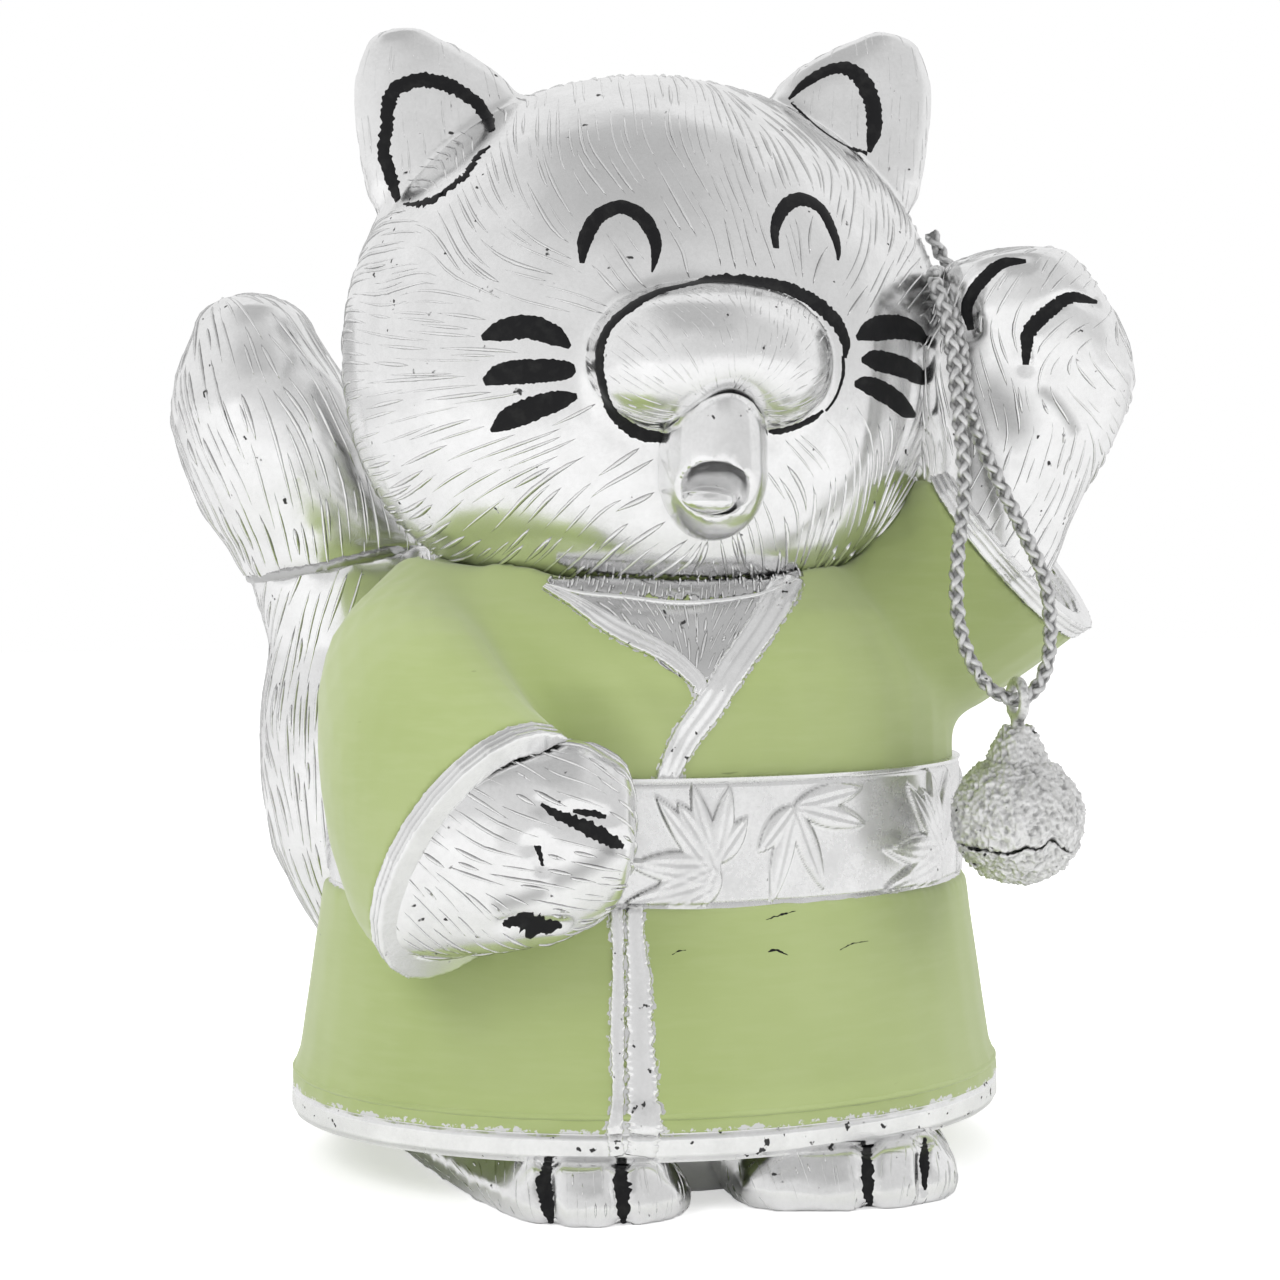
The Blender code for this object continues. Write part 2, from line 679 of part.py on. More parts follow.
# Both ends of the cord go on through the crevice between cheek and paw, to the knot behind the paw.
TUCK_ROUTES = {
    "cord_tuck_upper": (
        (27.9, -20.7, 100.1),
        (28.7, -18.6, 100.8),
        (30.6, -15.4, 101.2),
        (33.3, -11.8, 100.9),
        (35.6, -8.4, 100.0),
    ),
    "cord_tuck_lower": (
        (28.7, -20.5, 97.9),
        (29.3, -18.4, 98.6),
        (31.1, -15.2, 99.0),
        (33.6, -11.7, 98.7),
        (35.6, -8.4, 97.8),
    ),
}
KNOT_PLACE = (37.15, -6.25, 98.9)
END_ROUTE = (
    (36.4, -6.7, 101.6),
    (34.9, -7.1, 102.7),
    (33.6, -7.5, 104.4),
    (32.4, -7.7, 106.6),
)


def smooth_route(points, spacing, kept=0):
    """Evenly spread points on a smooth curve through the route, one at the kept point."""
    fine = 12
    dense = through([(tuple(point),) for point in points], fine)
    lengths = np.concatenate([[0.0], np.cumsum(np.linalg.norm(np.diff(dense, axis=0), axis=1))])
    middle, whole = lengths[kept * fine], lengths[-1]
    before = np.linspace(0.0, middle, int(round(middle / spacing)) + 1)[:-1] if kept else []
    after = np.linspace(middle, whole, int(round((whole - middle) / spacing)) + 1)
    targets = np.concatenate([before, after])
    spread = [np.interp(targets, lengths, dense[:, axis]) for axis in range(3)]
    return list(zip(*spread)), float(whole)


def tube(points, radius, name, material, resolution=2):
    """A round tube along points, as one closed mesh."""
    curve = bpy.data.curves.new(name, "CURVE")
    curve.dimensions = "3D"
    curve.bevel_depth = radius
    curve.bevel_resolution = resolution
    curve.use_fill_caps = True
    spline = curve.splines.new("POLY")
    spline.points.add(len(points) - 1)
    for knot, point in zip(spline.points, points):
        knot.co = (*point, 1.0)
    source = bpy.data.objects.new(f"{name}_route", curve)
    bpy.context.scene.collection.objects.link(source)
    bpy.context.view_layer.update()
    evaluated = source.evaluated_get(bpy.context.evaluated_depsgraph_get())
    mesh = bpy.data.meshes.new_from_object(evaluated)
    bm = bmesh.new()
    bm.from_mesh(mesh)
    bmesh.ops.remove_doubles(bm, verts=bm.verts, dist=0.00001)
    bpy.data.meshes.remove(mesh)
    bpy.data.objects.remove(source)
    bpy.data.curves.remove(curve)
    return place(bm, name, material)


def foot_form(side, grow=0.0):
    """A foot from its rounded toes back to the heel under the robe, flat above and below."""
    front = -HEM_DEPTH - 3.2 * MM
    toe = 0.20 * FOOT_LENGTH
    half = 0.5 * FOOT_WIDTH
    rows = []
    for share, spread, width in ((0.0, 0.0, 0.94), (0.4, 1.6 * MM, 1.08), (1.0, 4.2 * MM, 1.12)):
        centre_x = FOOT_SHIFT + side * (FOOT_SPREAD + spread)
        place_y = front + toe + share * (FOOT_LENGTH - toe)
        centre = (centre_x, place_y, 0.3 * FOOT_HEIGHT)
        rows.append((centre, (half * width, 0.0, 0.0), (0.0, 0.0, 0.98 * FOOT_HEIGHT)))
    bm = loft(rows, sides=24, steps=3, ends=(toe, 0.0), grow=grow, dome=4)
    slice_off(bm, (0.0, 0.0, FOOT_HEIGHT + grow), (0.0, 0.0, 1.0))
    slice_off(bm, (0.0, 0.0, -grow), (0.0, 0.0, -1.0))
    return bm


def build_base():
    """Base under the robe, with the flat underside, and the two feet."""
    half_width, half_depth = 0.5 * BASE_WIDTH, 0.5 * BASE_DEPTH
    edge = 0.8 * MM
    levels = (
        (0.0, half_width - edge, half_depth - edge),
        (edge, half_width, half_depth),
        (FOOT_HEIGHT, half_width + 1.6 * MM, half_depth + 1.6 * MM),
    )
    base = place(oval_slab(levels, sides=32, centre_y=1.0 * MM), "base_block", silver("base_block"))
    for name, side in (("foot_right", -1), ("foot_left", 1)):
        place(foot_form(side), name, silver(name))
        boolean(base, place(foot_form(side, GAP), f"{name}_cutter"))


def build_robe(guides):
    """Hem, skirt, front strips, belt, upper robe, chest fur and collars."""
    place(hem_form(), "hem_band", silver("hem_band"))
    place(skirt_form(), "robe_skirt", green_paint("robe_skirt"))
    place(belt_form(), "belt", silver("belt"))
    half = 0.5 * PLACKET_WIDTH
    apart = half + 0.5 * GAP
    for name, shift in (("placket_strip_under", -apart), ("placket_strip_over", apart)):
        piece = place(strip(placket_points(shift), half, TRIM_PROUD + GAP), name, silver(name))
        boolean(piece, guides["skirt"])
        boolean(piece, guides["hem"])

    torso = place(torso_form(), "robe_upper", green_paint("robe_upper"))
    boolean(torso, guides["head"])
    fur_z = CHEST_Z + CHEST_FUR_RISE
    fur_front = front_of_body(0.0, fur_z - 0.13 * CHEST_FUR_HEIGHT)
    fur_place = (-0.1 * CHEST_WIDTH, fur_front + 0.375 * CHEST_FUR_DEPTH, fur_z)
    fur_radii = (0.5 * CHEST_FUR_WIDTH, CHEST_FUR_DEPTH, 0.5 * CHEST_FUR_HEIGHT)
    recess = place(ball(fur_place, tuple(r + GAP for r in fur_radii), 24, 14), "chest_fur_cutter")
    boolean(torso, recess)
    fur = place(ball(fur_place, fur_radii, 24, 14), "chest_fur", silver("chest_fur"))
    inner = place(torso_form(-CHEST_FUR_SINK), "robe_inner_guide")
    boolean(fur, inner, "INTERSECT")
    boolean(fur, guides["head"])

    for name, which, proud in (("collar_under", "under", 0.75), ("collar_over", "over", 1.0)):
        width = 0.5 * COLLAR_WIDTH * proud
        bm = strip(collar_points(which), width, (TRIM_PROUD + GAP) * (0.8 + 0.4 * proud))
        piece = place(bm, name, silver(name))
        boolean(piece, guides["torso"])
        boolean(piece, guides["head"])
        if which == "over":
            boolean(piece, guides["belt"])
        else:
            bm = strip(collar_points("over"), 0.5 * COLLAR_WIDTH, 1.2 * (TRIM_PROUD + GAP), grow=GAP)
            boolean(piece, place(bm, "collar_over_cutter"))


def build_belt_bow(guides):
    """Bow at the back of the belt: a knot and two loops hugging the body."""
    back = WAIST_DEPTH + BELT_PROUD
    side = WAIST_WIDTH + BELT_PROUD
    middle = 0.5 * (BELT_Z + BELT_TOP)
    half = 0.5 * KNOT_WIDTH
    thick = 0.5 * BOW_THICKNESS
    tail_cutter = place(tail_form("lower", GAP), "tail_lower_cutter")
    knot_rows = [
        ((-half, back + thick, middle), (0.0, 0.0, 0.32 * BOW_HEIGHT), (0.0, thick, 0.0)),
        ((0.0, back + 1.3 * thick, middle), (0.0, 0.0, 0.5 * BOW_HEIGHT), (0.0, 1.6 * thick, 0.0)),
        ((half, back + thick, middle), (0.0, 0.0, 0.32 * BOW_HEIGHT), (0.0, thick, 0.0)),
    ]
    knot = place(loft(knot_rows, sides=16, steps=3), "belt_knot", silver("belt_knot"))
    boolean(knot, guides["belt"])
    for name, turns in (("bow_loop_left", (80, 60, 38, 17)), ("bow_loop_right", (100, 110, 122, 134))):
        rows = []
        for index, turn in enumerate(turns):
            angle = math.radians(turn)
            swell = (0.5, 0.8, 1.0, 0.85)[index]
            reach = thick * (0.8 + 0.6 * swell)
            droop = BOW_DROOP * index / (len(turns) - 1)
            centre = ((side + reach) * math.cos(angle), (back + reach) * math.sin(angle), middle - droop)
            outward = (reach * math.cos(angle), reach * math.sin(angle), 0.0)
            rows.append((centre, (0.0, 0.0, 0.5 * BOW_HEIGHT * swell), outward))
        bow = place(loft(rows, sides=16, steps=3, ends=(0.0, 1.6 * MM)), name, silver(name))
        boolean(bow, guides["body"])
        if name == "bow_loop_right":
            boolean(bow, tail_cutter)
        boolean(bow, place(loft(knot_rows, sides=16, steps=3, grow=GAP), f"{name}_knot_cutter"))


def build_head(guides):
    """Head with its ears, muzzle, jaw and tongue."""
    place(head_form(), "head", silver("head"))
    for name, side in (("ear_right", -1), ("ear_left", 1)):
        boolean(place(ear_form(side), name, silver(name)), guides["head"])
    muzzle = place(muzzle_form(), "muzzle", silver("muzzle"))
    boolean(muzzle, guides["head"])
    jaw = place(jaw_form(), "lower_jaw", silver("lower_jaw"))
    boolean(jaw, guides["head"])
    boolean(jaw, place(muzzle_form(GAP), "muzzle_cutter"))
    boolean(jaw, place(mouth_form(), "mouth_cutter"))
    x, y, z = mouth_place()
    tongue_radii = (0.5 * TONGUE_WIDTH, 0.7 * MOUTH_DEPTH, 0.5 * TONGUE_HEIGHT)
    tongue_place = (x, y + 0.5 * MOUTH_DEPTH, z - 0.5 * MOUTH_HEIGHT + tongue_radii[2] + GAP)
    tongue = place(ball(tongue_place, tongue_radii, 16, 10), "tongue", silver("tongue"))
    boolean(tongue, place(mouth_form(-GAP), "tongue_guide"), "INTERSECT")


def build_arms(guides):
    """Both sleeves with their cuffs and paws."""
    for word, side, paw_form in (("lowered", -1, lowered_paw_form), ("raised", 1, raised_paw_form)):
        sleeve = place(sleeve_form(side), f"{word}_sleeve", green_paint(f"{word}_sleeve"))
        cuff = place(cuff_form(side, GAP, CUFF_LENGTH, 0.5 * MM), f"{word}_cuff", silver(f"{word}_cuff"))
        paw = place(paw_form(), f"{word}_paw", silver(f"{word}_paw"))
        hollow = cuff_form(side, -SLEEVE_MOUTH, CUFF_LENGTH + 1.0 * MM, -SLEEVE_WALL, taper=SLEEVE_TAPER)
        mouth = place(hollow, f"{word}_mouth_cutter")
        paw_cutter = place(paw_form(GAP), f"{word}_paw_cutter")
        for piece in (sleeve, cuff):
            boolean(piece, mouth)
            boolean(piece, paw_cutter)
        boolean(sleeve, guides["body"])
        boolean(sleeve, guides["head"])
        if side < 0:
            boolean(cuff, guides["body"])
            boolean(paw, guides["body"])


def build_tail(guides):
    """Tail in two pieces with the thin ring where they meet."""
    lower = place(tail_form("lower"), "tail_lower", silver("tail_lower"))
    boolean(lower, guides["body"])
    place(tail_form("ring"), "tail_ring", silver("tail_ring"))
    place(tail_form("upper"), "tail_upper", silver("tail_upper"))


def build_cord(paw):
    """Cord loop, and what holds it: its tucked ends in the crevice, the knot and the free end.

    Returns the lowest place of the loop, where the bell's eye hangs.
    """
    radius = 0.5 * CORD_DIAMETER
    lowest = min(range(len(CORD_ROUTE)), key=lambda index: CORD_ROUTE[index].z)
    points, length = smooth_route(CORD_ROUTE, 2.0 * CORD_DIAMETER, kept=lowest)
    print(f"cord length {length / MM:.1f} mm")
    tube(points, radius, "cord", silver("cord"))
    place(ball(mm(*KNOT_PLACE), (KNOT_RADIUS,) * 3, 16, 10), "cord_knot", silver("cord_knot"))
    for name, route in {**TUCK_ROUTES, "cord_end": END_ROUTE}.items():
        short_points, _ = smooth_route([Vector(mm(*point)) for point in route], 1.2 * CORD_DIAMETER)
        tube(short_points, radius, name, silver(name))
        if name in TUCK_ROUTES:
            boolean(paw, tube(short_points, radius + GAP, f"{name}_cutter", None))
    return CORD_ROUTE[lowest]


def build_bell(eye_place):
    """Jingle bell: crown, bowl with its slot, eye on a stem, and the pea inside."""
    eye_inner = 0.5 * CORD_DIAMETER + CORD_PLAY
    eye_outer = eye_inner + EYE_WIRE
    neck_top = BELL_RADIUS + BELL_NECK_HEIGHT
    centre = eye_place - Vector((0.0, 0.0, neck_top + GAP + eye_outer))
    inner = BELL_RADIUS - BELL_WALL
    seam = math.degrees(math.asin(BELL_SEAM_DROP / BELL_RADIUS))
    inner_seam = math.degrees(math.asin(BELL_SEAM_DROP / inner))
    shoulder = 62
    bore = STEM_RADIUS + GAP
    outside = [(BELL_NECK_RADIUS, neck_top)] + arc(BELL_RADIUS, shoulder, -seam, 10)
    inside = arc(inner, -inner_seam, math.degrees(math.acos(bore / inner)), 12)
    crown_profile = outside + inside + [(bore, neck_top)]
    turned(crown_profile, "bell_crown", silver("bell_crown"), centre, closed=True)

    drop = BELL_SEAM_DROP + GAP
    low_outer = arc(BELL_RADIUS, -math.degrees(math.asin(drop / BELL_RADIUS)), -90, 7)
    low_inner = arc(inner, -90, -math.degrees(math.asin(drop / inner)), 7)
    bowl = turned(low_outer + low_inner, "bell_bowl", silver("bell_bowl"), centre, closed=True)
    bm = bmesh.new()
    bmesh.ops.create_cube(bm, size=1.0)
    bmesh.ops.scale(bm, vec=(1.5 * BELL_RADIUS, BELL_SLOT, BELL_RADIUS), verts=bm.verts)
    bmesh.ops.translate(bm, vec=centre - Vector((0.0, 0.0, 1.1 * BELL_RADIUS)), verts=bm.verts)
    boolean(bowl, place(bm, "bell_slot_cutter"))

    bpy.ops.mesh.primitive_torus_add(
        major_radius=eye_inner + 0.5 * EYE_WIRE,
        minor_radius=0.5 * EYE_WIRE,
        major_segments=24,
        minor_segments=10,
        location=eye_place,
        rotation=(0.0, math.radians(90), 0.0),
    )
    eye = bpy.context.object
    eye.name = "bell_eye"
    for group in list(eye.users_collection):
        group.objects.unlink(eye)
    PARTS.objects.link(eye)
    eye.data.materials.append(silver("bell_eye"))
    stem_low = centre.z + inner - 1.2 * MM
    stem_high = eye_place.z - eye_inner - 0.5 * EYE_WIRE
    bm = bmesh.new()
    turn = Matrix.Translation((centre.x, centre.y, 0.5 * (stem_low + stem_high)))
    bmesh.ops.create_cone(
        bm,
        cap_ends=True,
        segments=16,
        radius1=STEM_RADIUS,
        radius2=STEM_RADIUS,
        depth=stem_high - stem_low,
        matrix=turn,
    )
    boolean(eye, place(bm, "bell_stem_guide"), "UNION")

    pea_z = centre.z - inner + PEA_RADIUS + GAP
    place(ball((centre.x, centre.y, pea_z), (PEA_RADIUS,) * 3, 14, 8), "bell_pea", silver("bell_pea"))
    print(f"bell centre {[round(value / MM, 3) for value in centre]}")


def main():
    clear_scene()
    make_collections()
    guides = {
        "head": place(head_form(GAP), "head_cutter"),
        "torso": place(torso_form(GAP), "robe_upper_cutter"),
        "belt": place(belt_form(GAP), "belt_cutter"),
        "body": place(body_form(GAP), "body_cutter"),
        "skirt": place(skirt_form(GAP), "robe_skirt_cutter"),
        "hem": place(hem_form(GAP), "hem_cutter"),
    }
    build_base()
    build_robe(guides)
    build_belt_bow(guides)
    build_head(guides)
    build_arms(guides)
    build_tail(guides)
    build_bell(build_cord(bpy.data.objects["raised_paw"]))


main()
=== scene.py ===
"""Looks of a silver-plated lucky cat figurine in a matte green kimono.

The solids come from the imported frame. Each piece here is a finer casting of one of
them: fur drawn along its growth, enamel laid in lines, leaves embossed on the belt,
a braided cord and a granular bell.
"""

import logging
import math
from dataclasses import dataclass, field
from enum import Enum
from typing import Callable, Iterable, Sequence

import bpy
import numpy as np
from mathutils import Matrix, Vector, noise
from mathutils.bvhtree import BVHTree
from mathutils.kdtree import KDTree


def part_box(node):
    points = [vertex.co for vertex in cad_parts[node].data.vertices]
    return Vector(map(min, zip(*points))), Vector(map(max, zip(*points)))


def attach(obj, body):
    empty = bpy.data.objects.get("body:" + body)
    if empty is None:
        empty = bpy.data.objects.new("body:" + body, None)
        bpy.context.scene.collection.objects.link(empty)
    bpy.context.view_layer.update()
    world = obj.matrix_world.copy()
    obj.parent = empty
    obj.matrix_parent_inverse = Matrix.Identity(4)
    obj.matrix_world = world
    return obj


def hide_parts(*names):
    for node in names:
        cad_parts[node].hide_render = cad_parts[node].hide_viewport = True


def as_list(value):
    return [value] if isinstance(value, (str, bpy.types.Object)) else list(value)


MM = 0.001
OUTSIDE = 0.08  # metres from the middle axis, beyond every surface
NOISE_SEED = 9  # without one, the fur's sway would follow the clock
Line = str  # places apart by blanks, each with commas between its numbers
Piece = bpy.types.Object
log = logging.getLogger("lucky_cat")

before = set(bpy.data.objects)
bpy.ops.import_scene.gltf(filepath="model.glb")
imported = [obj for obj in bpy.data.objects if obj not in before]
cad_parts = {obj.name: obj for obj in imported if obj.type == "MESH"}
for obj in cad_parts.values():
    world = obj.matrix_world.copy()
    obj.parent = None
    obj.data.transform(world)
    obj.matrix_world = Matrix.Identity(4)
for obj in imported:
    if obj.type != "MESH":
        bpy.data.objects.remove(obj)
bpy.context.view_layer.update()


class Slot(Enum):
    """The record's finishes."""

    POLISHED = "polished_silver"
    BELT = "belt_silver"
    TRIM = "trim_silver"
    KIMONO = "kimono_green"
    ENAMEL = "black_enamel"
    BELL = "bell_silver"
    CORD = "cord_silver"


class Body(Enum):
    """What moves together."""

    FIGURE = "figure"
    LOOP = "cord_loop"
    BELL = "bell"
    PEA = "pea"


@dataclass(frozen=True)
class PhotoCamera:
    """The camera, worked out from the photograph's own perspective."""

    image: int = 1280
    focal: float = 2655.0
    axis_x: float = 648.0
    axis_y: float = 521.0
    distance: float = 312.0 * MM
    turn: float = math.radians(14.0)
    height: float = 72.8 * MM
    sensor: float = 36.0

    @property
    def ahead(self) -> Vector:
        """Where it looks."""
        return Vector((math.sin(self.turn), math.cos(self.turn), 0.0))

    @property
    def right(self) -> Vector:
        """The image's direction to the right."""
        return Vector((math.cos(self.turn), -math.sin(self.turn), 0.0))

    @property
    def place(self) -> Vector:
        """Where the camera stands."""
        return Vector((0.0, 0.0, self.height)) - self.ahead * self.distance

    def ray(self, x: float, y: float) -> Vector:
        """Direction of a pixel of the photograph.

        Args:
            x: Pixels from the left.
            y: Pixels from the top.

        Returns:
            The unit direction from the camera.
        """
        across = (x - self.axis_x) / self.focal
        up = (self.axis_y - y) / self.focal
        return (self.ahead + self.right * across + Vector((0.0, 0.0, up))).normalized()

    def scale(self, place: Vector) -> float:
        """Metres in a pixel at the depth of a place."""
        return (place - self.place).dot(self.ahead) / self.focal

    def build(self) -> None:
        """Adds the camera to the scene."""
        data = bpy.data.cameras.new("photo_camera")
        data.sensor_width = self.sensor
        data.lens = self.focal / self.image * self.sensor
        data.shift_x = (0.5 * self.image - self.axis_x) / self.image
        data.shift_y = (self.axis_y - 0.5 * self.image) / self.image
        data.clip_start = 10.0 * MM
        camera = bpy.data.objects.new("photo_camera", data)
        camera.location = self.place
        camera.rotation_euler = (math.radians(90.0), 0.0, -self.turn)
        bpy.context.scene.collection.objects.link(camera)
        bpy.context.scene.camera = camera


PHOTO = PhotoCamera()


# Mesh helpers


def chosen(obj: Piece) -> None:
    """Makes one object the only selected and the active one."""
    bpy.ops.object.select_all(action="DESELECT")
    obj.select_set(True)
    bpy.context.view_layer.objects.active = obj


def applied(obj: Piece, kind: str, **settings: object) -> None:
    """Adds a modifier with its settings and applies it."""
    chosen(obj)
    modifier = obj.modifiers.new(kind.lower(), kind)
    for name, value in settings.items():
        setattr(modifier, name, value)
    bpy.ops.object.modifier_apply(modifier=modifier.name)


def welded(obj: Piece, outward: bool = False) -> None:
    """Merges doubles and, for closed shells, turns their faces outwards."""
    chosen(obj)
    bpy.ops.object.mode_set(mode="EDIT")
    bpy.ops.mesh.select_all(action="SELECT")
    bpy.ops.mesh.remove_doubles(threshold=0.002 * MM)
    if outward:
        bpy.ops.mesh.normals_make_consistent(inside=False)
    bpy.ops.object.mode_set(mode="OBJECT")


def places(obj: Piece) -> np.ndarray:
    """The vertices of a mesh as rows."""
    flat = np.empty(len(obj.data.vertices) * 3)
    obj.data.vertices.foreach_get("co", flat)
    return flat.reshape(-1, 3)


def normals(obj: Piece) -> np.ndarray:
    """The vertex normals of a mesh as rows."""
    flat = np.empty(len(obj.data.vertices) * 3, np.float32)
    obj.data.vertex_normals.foreach_get("vector", flat)
    return flat.reshape(-1, 3).astype(float)


def moved(obj: Piece, rows: np.ndarray) -> None:
    """Puts the vertices of a mesh at new places."""
    obj.data.vertices.foreach_set("co", np.asarray(rows, np.float32).ravel())
    obj.data.update()


def marked(obj: Piece, name: str, values: np.ndarray) -> None:
    """Stores a value for each vertex."""
    attribute = obj.data.attributes.get(name) or obj.data.attributes.new(name, "FLOAT", "POINT")
    attribute.data.foreach_set("value", np.asarray(values, np.float32).ravel())


def copied(node: str, name: str) -> Piece:
    """A welded copy of a solid of the frame.

    Args:
        node: The solid's name.
        name: The new piece's name.

    Returns:
        The new object, at the origin.
    """
    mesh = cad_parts[node].data.copy()
    mesh.materials.clear()
    obj = bpy.data.objects.new(name, mesh)
    bpy.context.scene.collection.objects.link(obj)
    welded(obj)
    return obj


def smoothly(value: np.ndarray | float, low: float, high: float) -> np.ndarray:
    """From 0 at low to 1 at high, with soft ends."""
    share = np.clip((value - low) / (high - low), 0.0, 1.0)
    return share * share * (3.0 - 2.0 * share)


def relax(
    obj: Piece,
    rounds: int,
    mask: np.ndarray | None = None,
    shares: tuple[float, ...] = (0.5, -0.52),
) -> None:
    """Evens out a mesh, by default without shrinking it.

    Args:
        obj: The mesh's object.
        rounds: How often.
        mask: How much each vertex takes part.
        shares: The steps of a round, towards the neighbours' middle.
    """
    count = len(obj.data.vertices)
    flat = np.empty(len(obj.data.edges) * 2, np.int32)
    obj.data.edges.foreach_get("vertices", flat)
    one, other = flat.reshape(-1, 2).T
    links = np.bincount(one, minlength=count) + np.bincount(other, minlength=count)
    rows = places(obj)
    weight = 1.0 if mask is None else mask[:, None]
    for _ in range(rounds):
        for share in shares:
            total = np.stack(
                [
                    np.bincount(one, rows[other, axis], count) + np.bincount(other, rows[one, axis], count)
                    for axis in range(3)
                ],
                axis=1,
            )
            rows = rows + share * weight * (total / links[:, None] - rows)
    moved(obj, rows)


def recast(obj: Piece, cage: float, rounds: int, levels: int) -> None:
    """Turns a faceted copy into a fine smooth mesh.

    Args:
        obj: The copy.
        cage: Size of the coarse grid in millimetres.
        rounds: How far the coarse grid is evened out.
        levels: How often it is then divided.
    """
    applied(obj, "REMESH", mode="VOXEL", voxel_size=cage * MM)
    relax(obj, rounds)
    if levels:
        applied(obj, "SUBSURF", levels=levels, render_levels=levels)
    chosen(obj)
    bpy.ops.object.shade_smooth()


def ripple(obj: Piece, amount: float, size: float) -> None:
    """Gives a casting the slight waves of handwork, in millimetres."""
    rows, outward = places(obj), normals(obj)
    wave = np.array([noise.noise(Vector(row) / (size * MM)) for row in rows])
    moved(obj, rows + outward * (wave * amount * MM)[:, None])


class Surface:
    """A mesh that other pieces are laid on."""

    def __init__(self, *objects: Piece) -> None:
        """Reads the meshes once."""
        corners: list[Vector] = []
        faces: list[tuple[int, ...]] = []
        for obj in objects:
            start = len(corners)
            corners += [vertex.co.copy() for vertex in obj.data.vertices]
            faces += [tuple(start + index for index in face.vertices) for face in obj.data.polygons]
        self.tree = BVHTree.FromPolygons(corners, faces)

    def seen(self, x: float, y: float) -> tuple[Vector, Vector] | None:
        """What a pixel of the photograph shows of it: place and normal."""
        place, normal, _, _ = self.tree.ray_cast(PHOTO.place, PHOTO.ray(x, y))
        if place is None:
            return None
        return place, (-normal if normal.dot(PHOTO.ray(x, y)) > 0 else normal)

    def nearest(self, place: Vector) -> tuple[Vector, Vector]:
        """The closest place on it, and the normal there."""
        found, normal, _, _ = self.tree.find_nearest(place)
        return found, normal

    def distances(self, rows: np.ndarray, reach: float) -> np.ndarray:
        """How far each place lies from it, at most reach."""
        far = np.full(len(rows), reach)
        for index, row in enumerate(rows):
            hit = self.tree.find_nearest(row, reach)
            if hit[0] is not None:
                far[index] = hit[3]
        return far


def clear_of(reach: float, *objects: Piece) -> Callable[[Vector], bool]:
    """A test for places that lie further than reach millimetres from some pieces."""
    if not objects:
        return lambda place: True
    tree = Surface(*objects).tree
    return lambda place: tree.find_nearest(place, reach * MM)[0] is None


def numbers(line: Line) -> np.ndarray:
    """The places of a line, one in each row."""
    return np.array([place.split(",") for place in line.split()], float)


def along_curve(points: Line, step: float, space: int = 2, samples: int = 24) -> np.ndarray:
    """Even places on a smooth curve through points.

    Args:
        points: The curve's own points; columns past the first ones ride along.
        step: Distance between the places, in the points' own unit.
        space: How many columns are the place.
        samples: How finely the curve is measured between two points.

    Returns:
        One row for each place.
    """
    rows = numbers(points)
    padded = np.vstack([2 * rows[0] - rows[1], rows, 2 * rows[-1] - rows[-2]])
    fine = []
    for index in range(len(rows) - 1):
        a, b, c, d = padded[index : index + 4]
        for t in np.linspace(0.0, 1.0, samples, endpoint=False):
            bent = 2 * b + (c - a) * t + (2 * a - 5 * b + 4 * c - d) * t**2 + (3 * b - a - 3 * c + d) * t**3
            fine.append(0.5 * bent)
    fine = np.array([*fine, rows[-1]])
    reach = np.concatenate([[0.0], np.cumsum(np.linalg.norm(np.diff(fine[:, :space], axis=0), axis=1))])
    stops = np.linspace(0.0, reach[-1], max(2, int(round(reach[-1] / step)) + 1))
    return np.stack([np.interp(stops, reach, fine[:, column]) for column in range(fine.shape[1])], axis=1)


def near_line(obj: Piece, points: Line, wide: float) -> np.ndarray:
    """How near each vertex of a piece is to a line of the photograph.

    Args:
        obj: The piece.
        points: The line in pixels; further columns aren't used.
        wide: The half width in millimetres at which the share falls off.

    Returns:
        One on the line and 0 far from it, for each vertex.
    """
    surface = Surface(obj)
    hits = [hit[0] for hit in (surface.seen(row[0], row[1]) for row in along_curve(points, 3.0)) if hit]
    rows = places(obj)
    if not hits:
        return np.zeros(len(rows))
    line = KDTree(len(hits))
    for index, place in enumerate(hits):
        line.insert(place, index)
    line.balance()
    far = np.array([line.find(row)[2] for row in rows]) / (wide * MM)
    return np.exp(-(far**2))


def folded(obj: Piece, points: Line, wide: float, high: float) -> None:
    """Raises a soft fold, or sinks one, along a line of the photograph, in millimetres."""
    moved(obj, places(obj) + normals(obj) * (near_line(obj, points, wide) * high * MM)[:, None])


def fused(
    name: str, rounds: int, *parts: Piece, swell: float = 0.19, grid: float = 0.5, reach: float = 4.0
) -> tuple[Piece, np.ndarray]:
    """Makes several pieces one casting, with soft transitions along their seams.

    Args:
        name: The casting's name.
        rounds: How far the seams are softened.
        parts: The pieces, the main one first.
        swell: Millimetres that each grows by, so that they meet.
        grid: The new mesh's grid in millimetres.
        reach: How far from a seam it is looked at, in millimetres.

    Returns:
        The casting, and how far each vertex lies from the pieces after the first.
    """
    main, rest = Surface(parts[0]), Surface(*parts[1:])
    chosen(parts[0])
    for part in parts:
        part.select_set(True)
    bpy.ops.object.join()
    obj = parts[0]
    obj.name = name
    applied(obj, "DISPLACE", strength=swell * MM, mid_level=0.0)
    applied(obj, "REMESH", mode="VOXEL", voxel_size=grid * MM)
    relax(obj, 8)
    rows = places(obj)
    to_main, to_rest = main.distances(rows, reach * MM), rest.distances(rows, reach * MM)
    relax(obj, rounds, smoothly(np.maximum(to_main, to_rest), 0.9 * reach * MM, 0.3 * reach * MM), (0.5,))
    chosen(obj)
    bpy.ops.object.shade_smooth()
    return obj, to_rest


# Fur


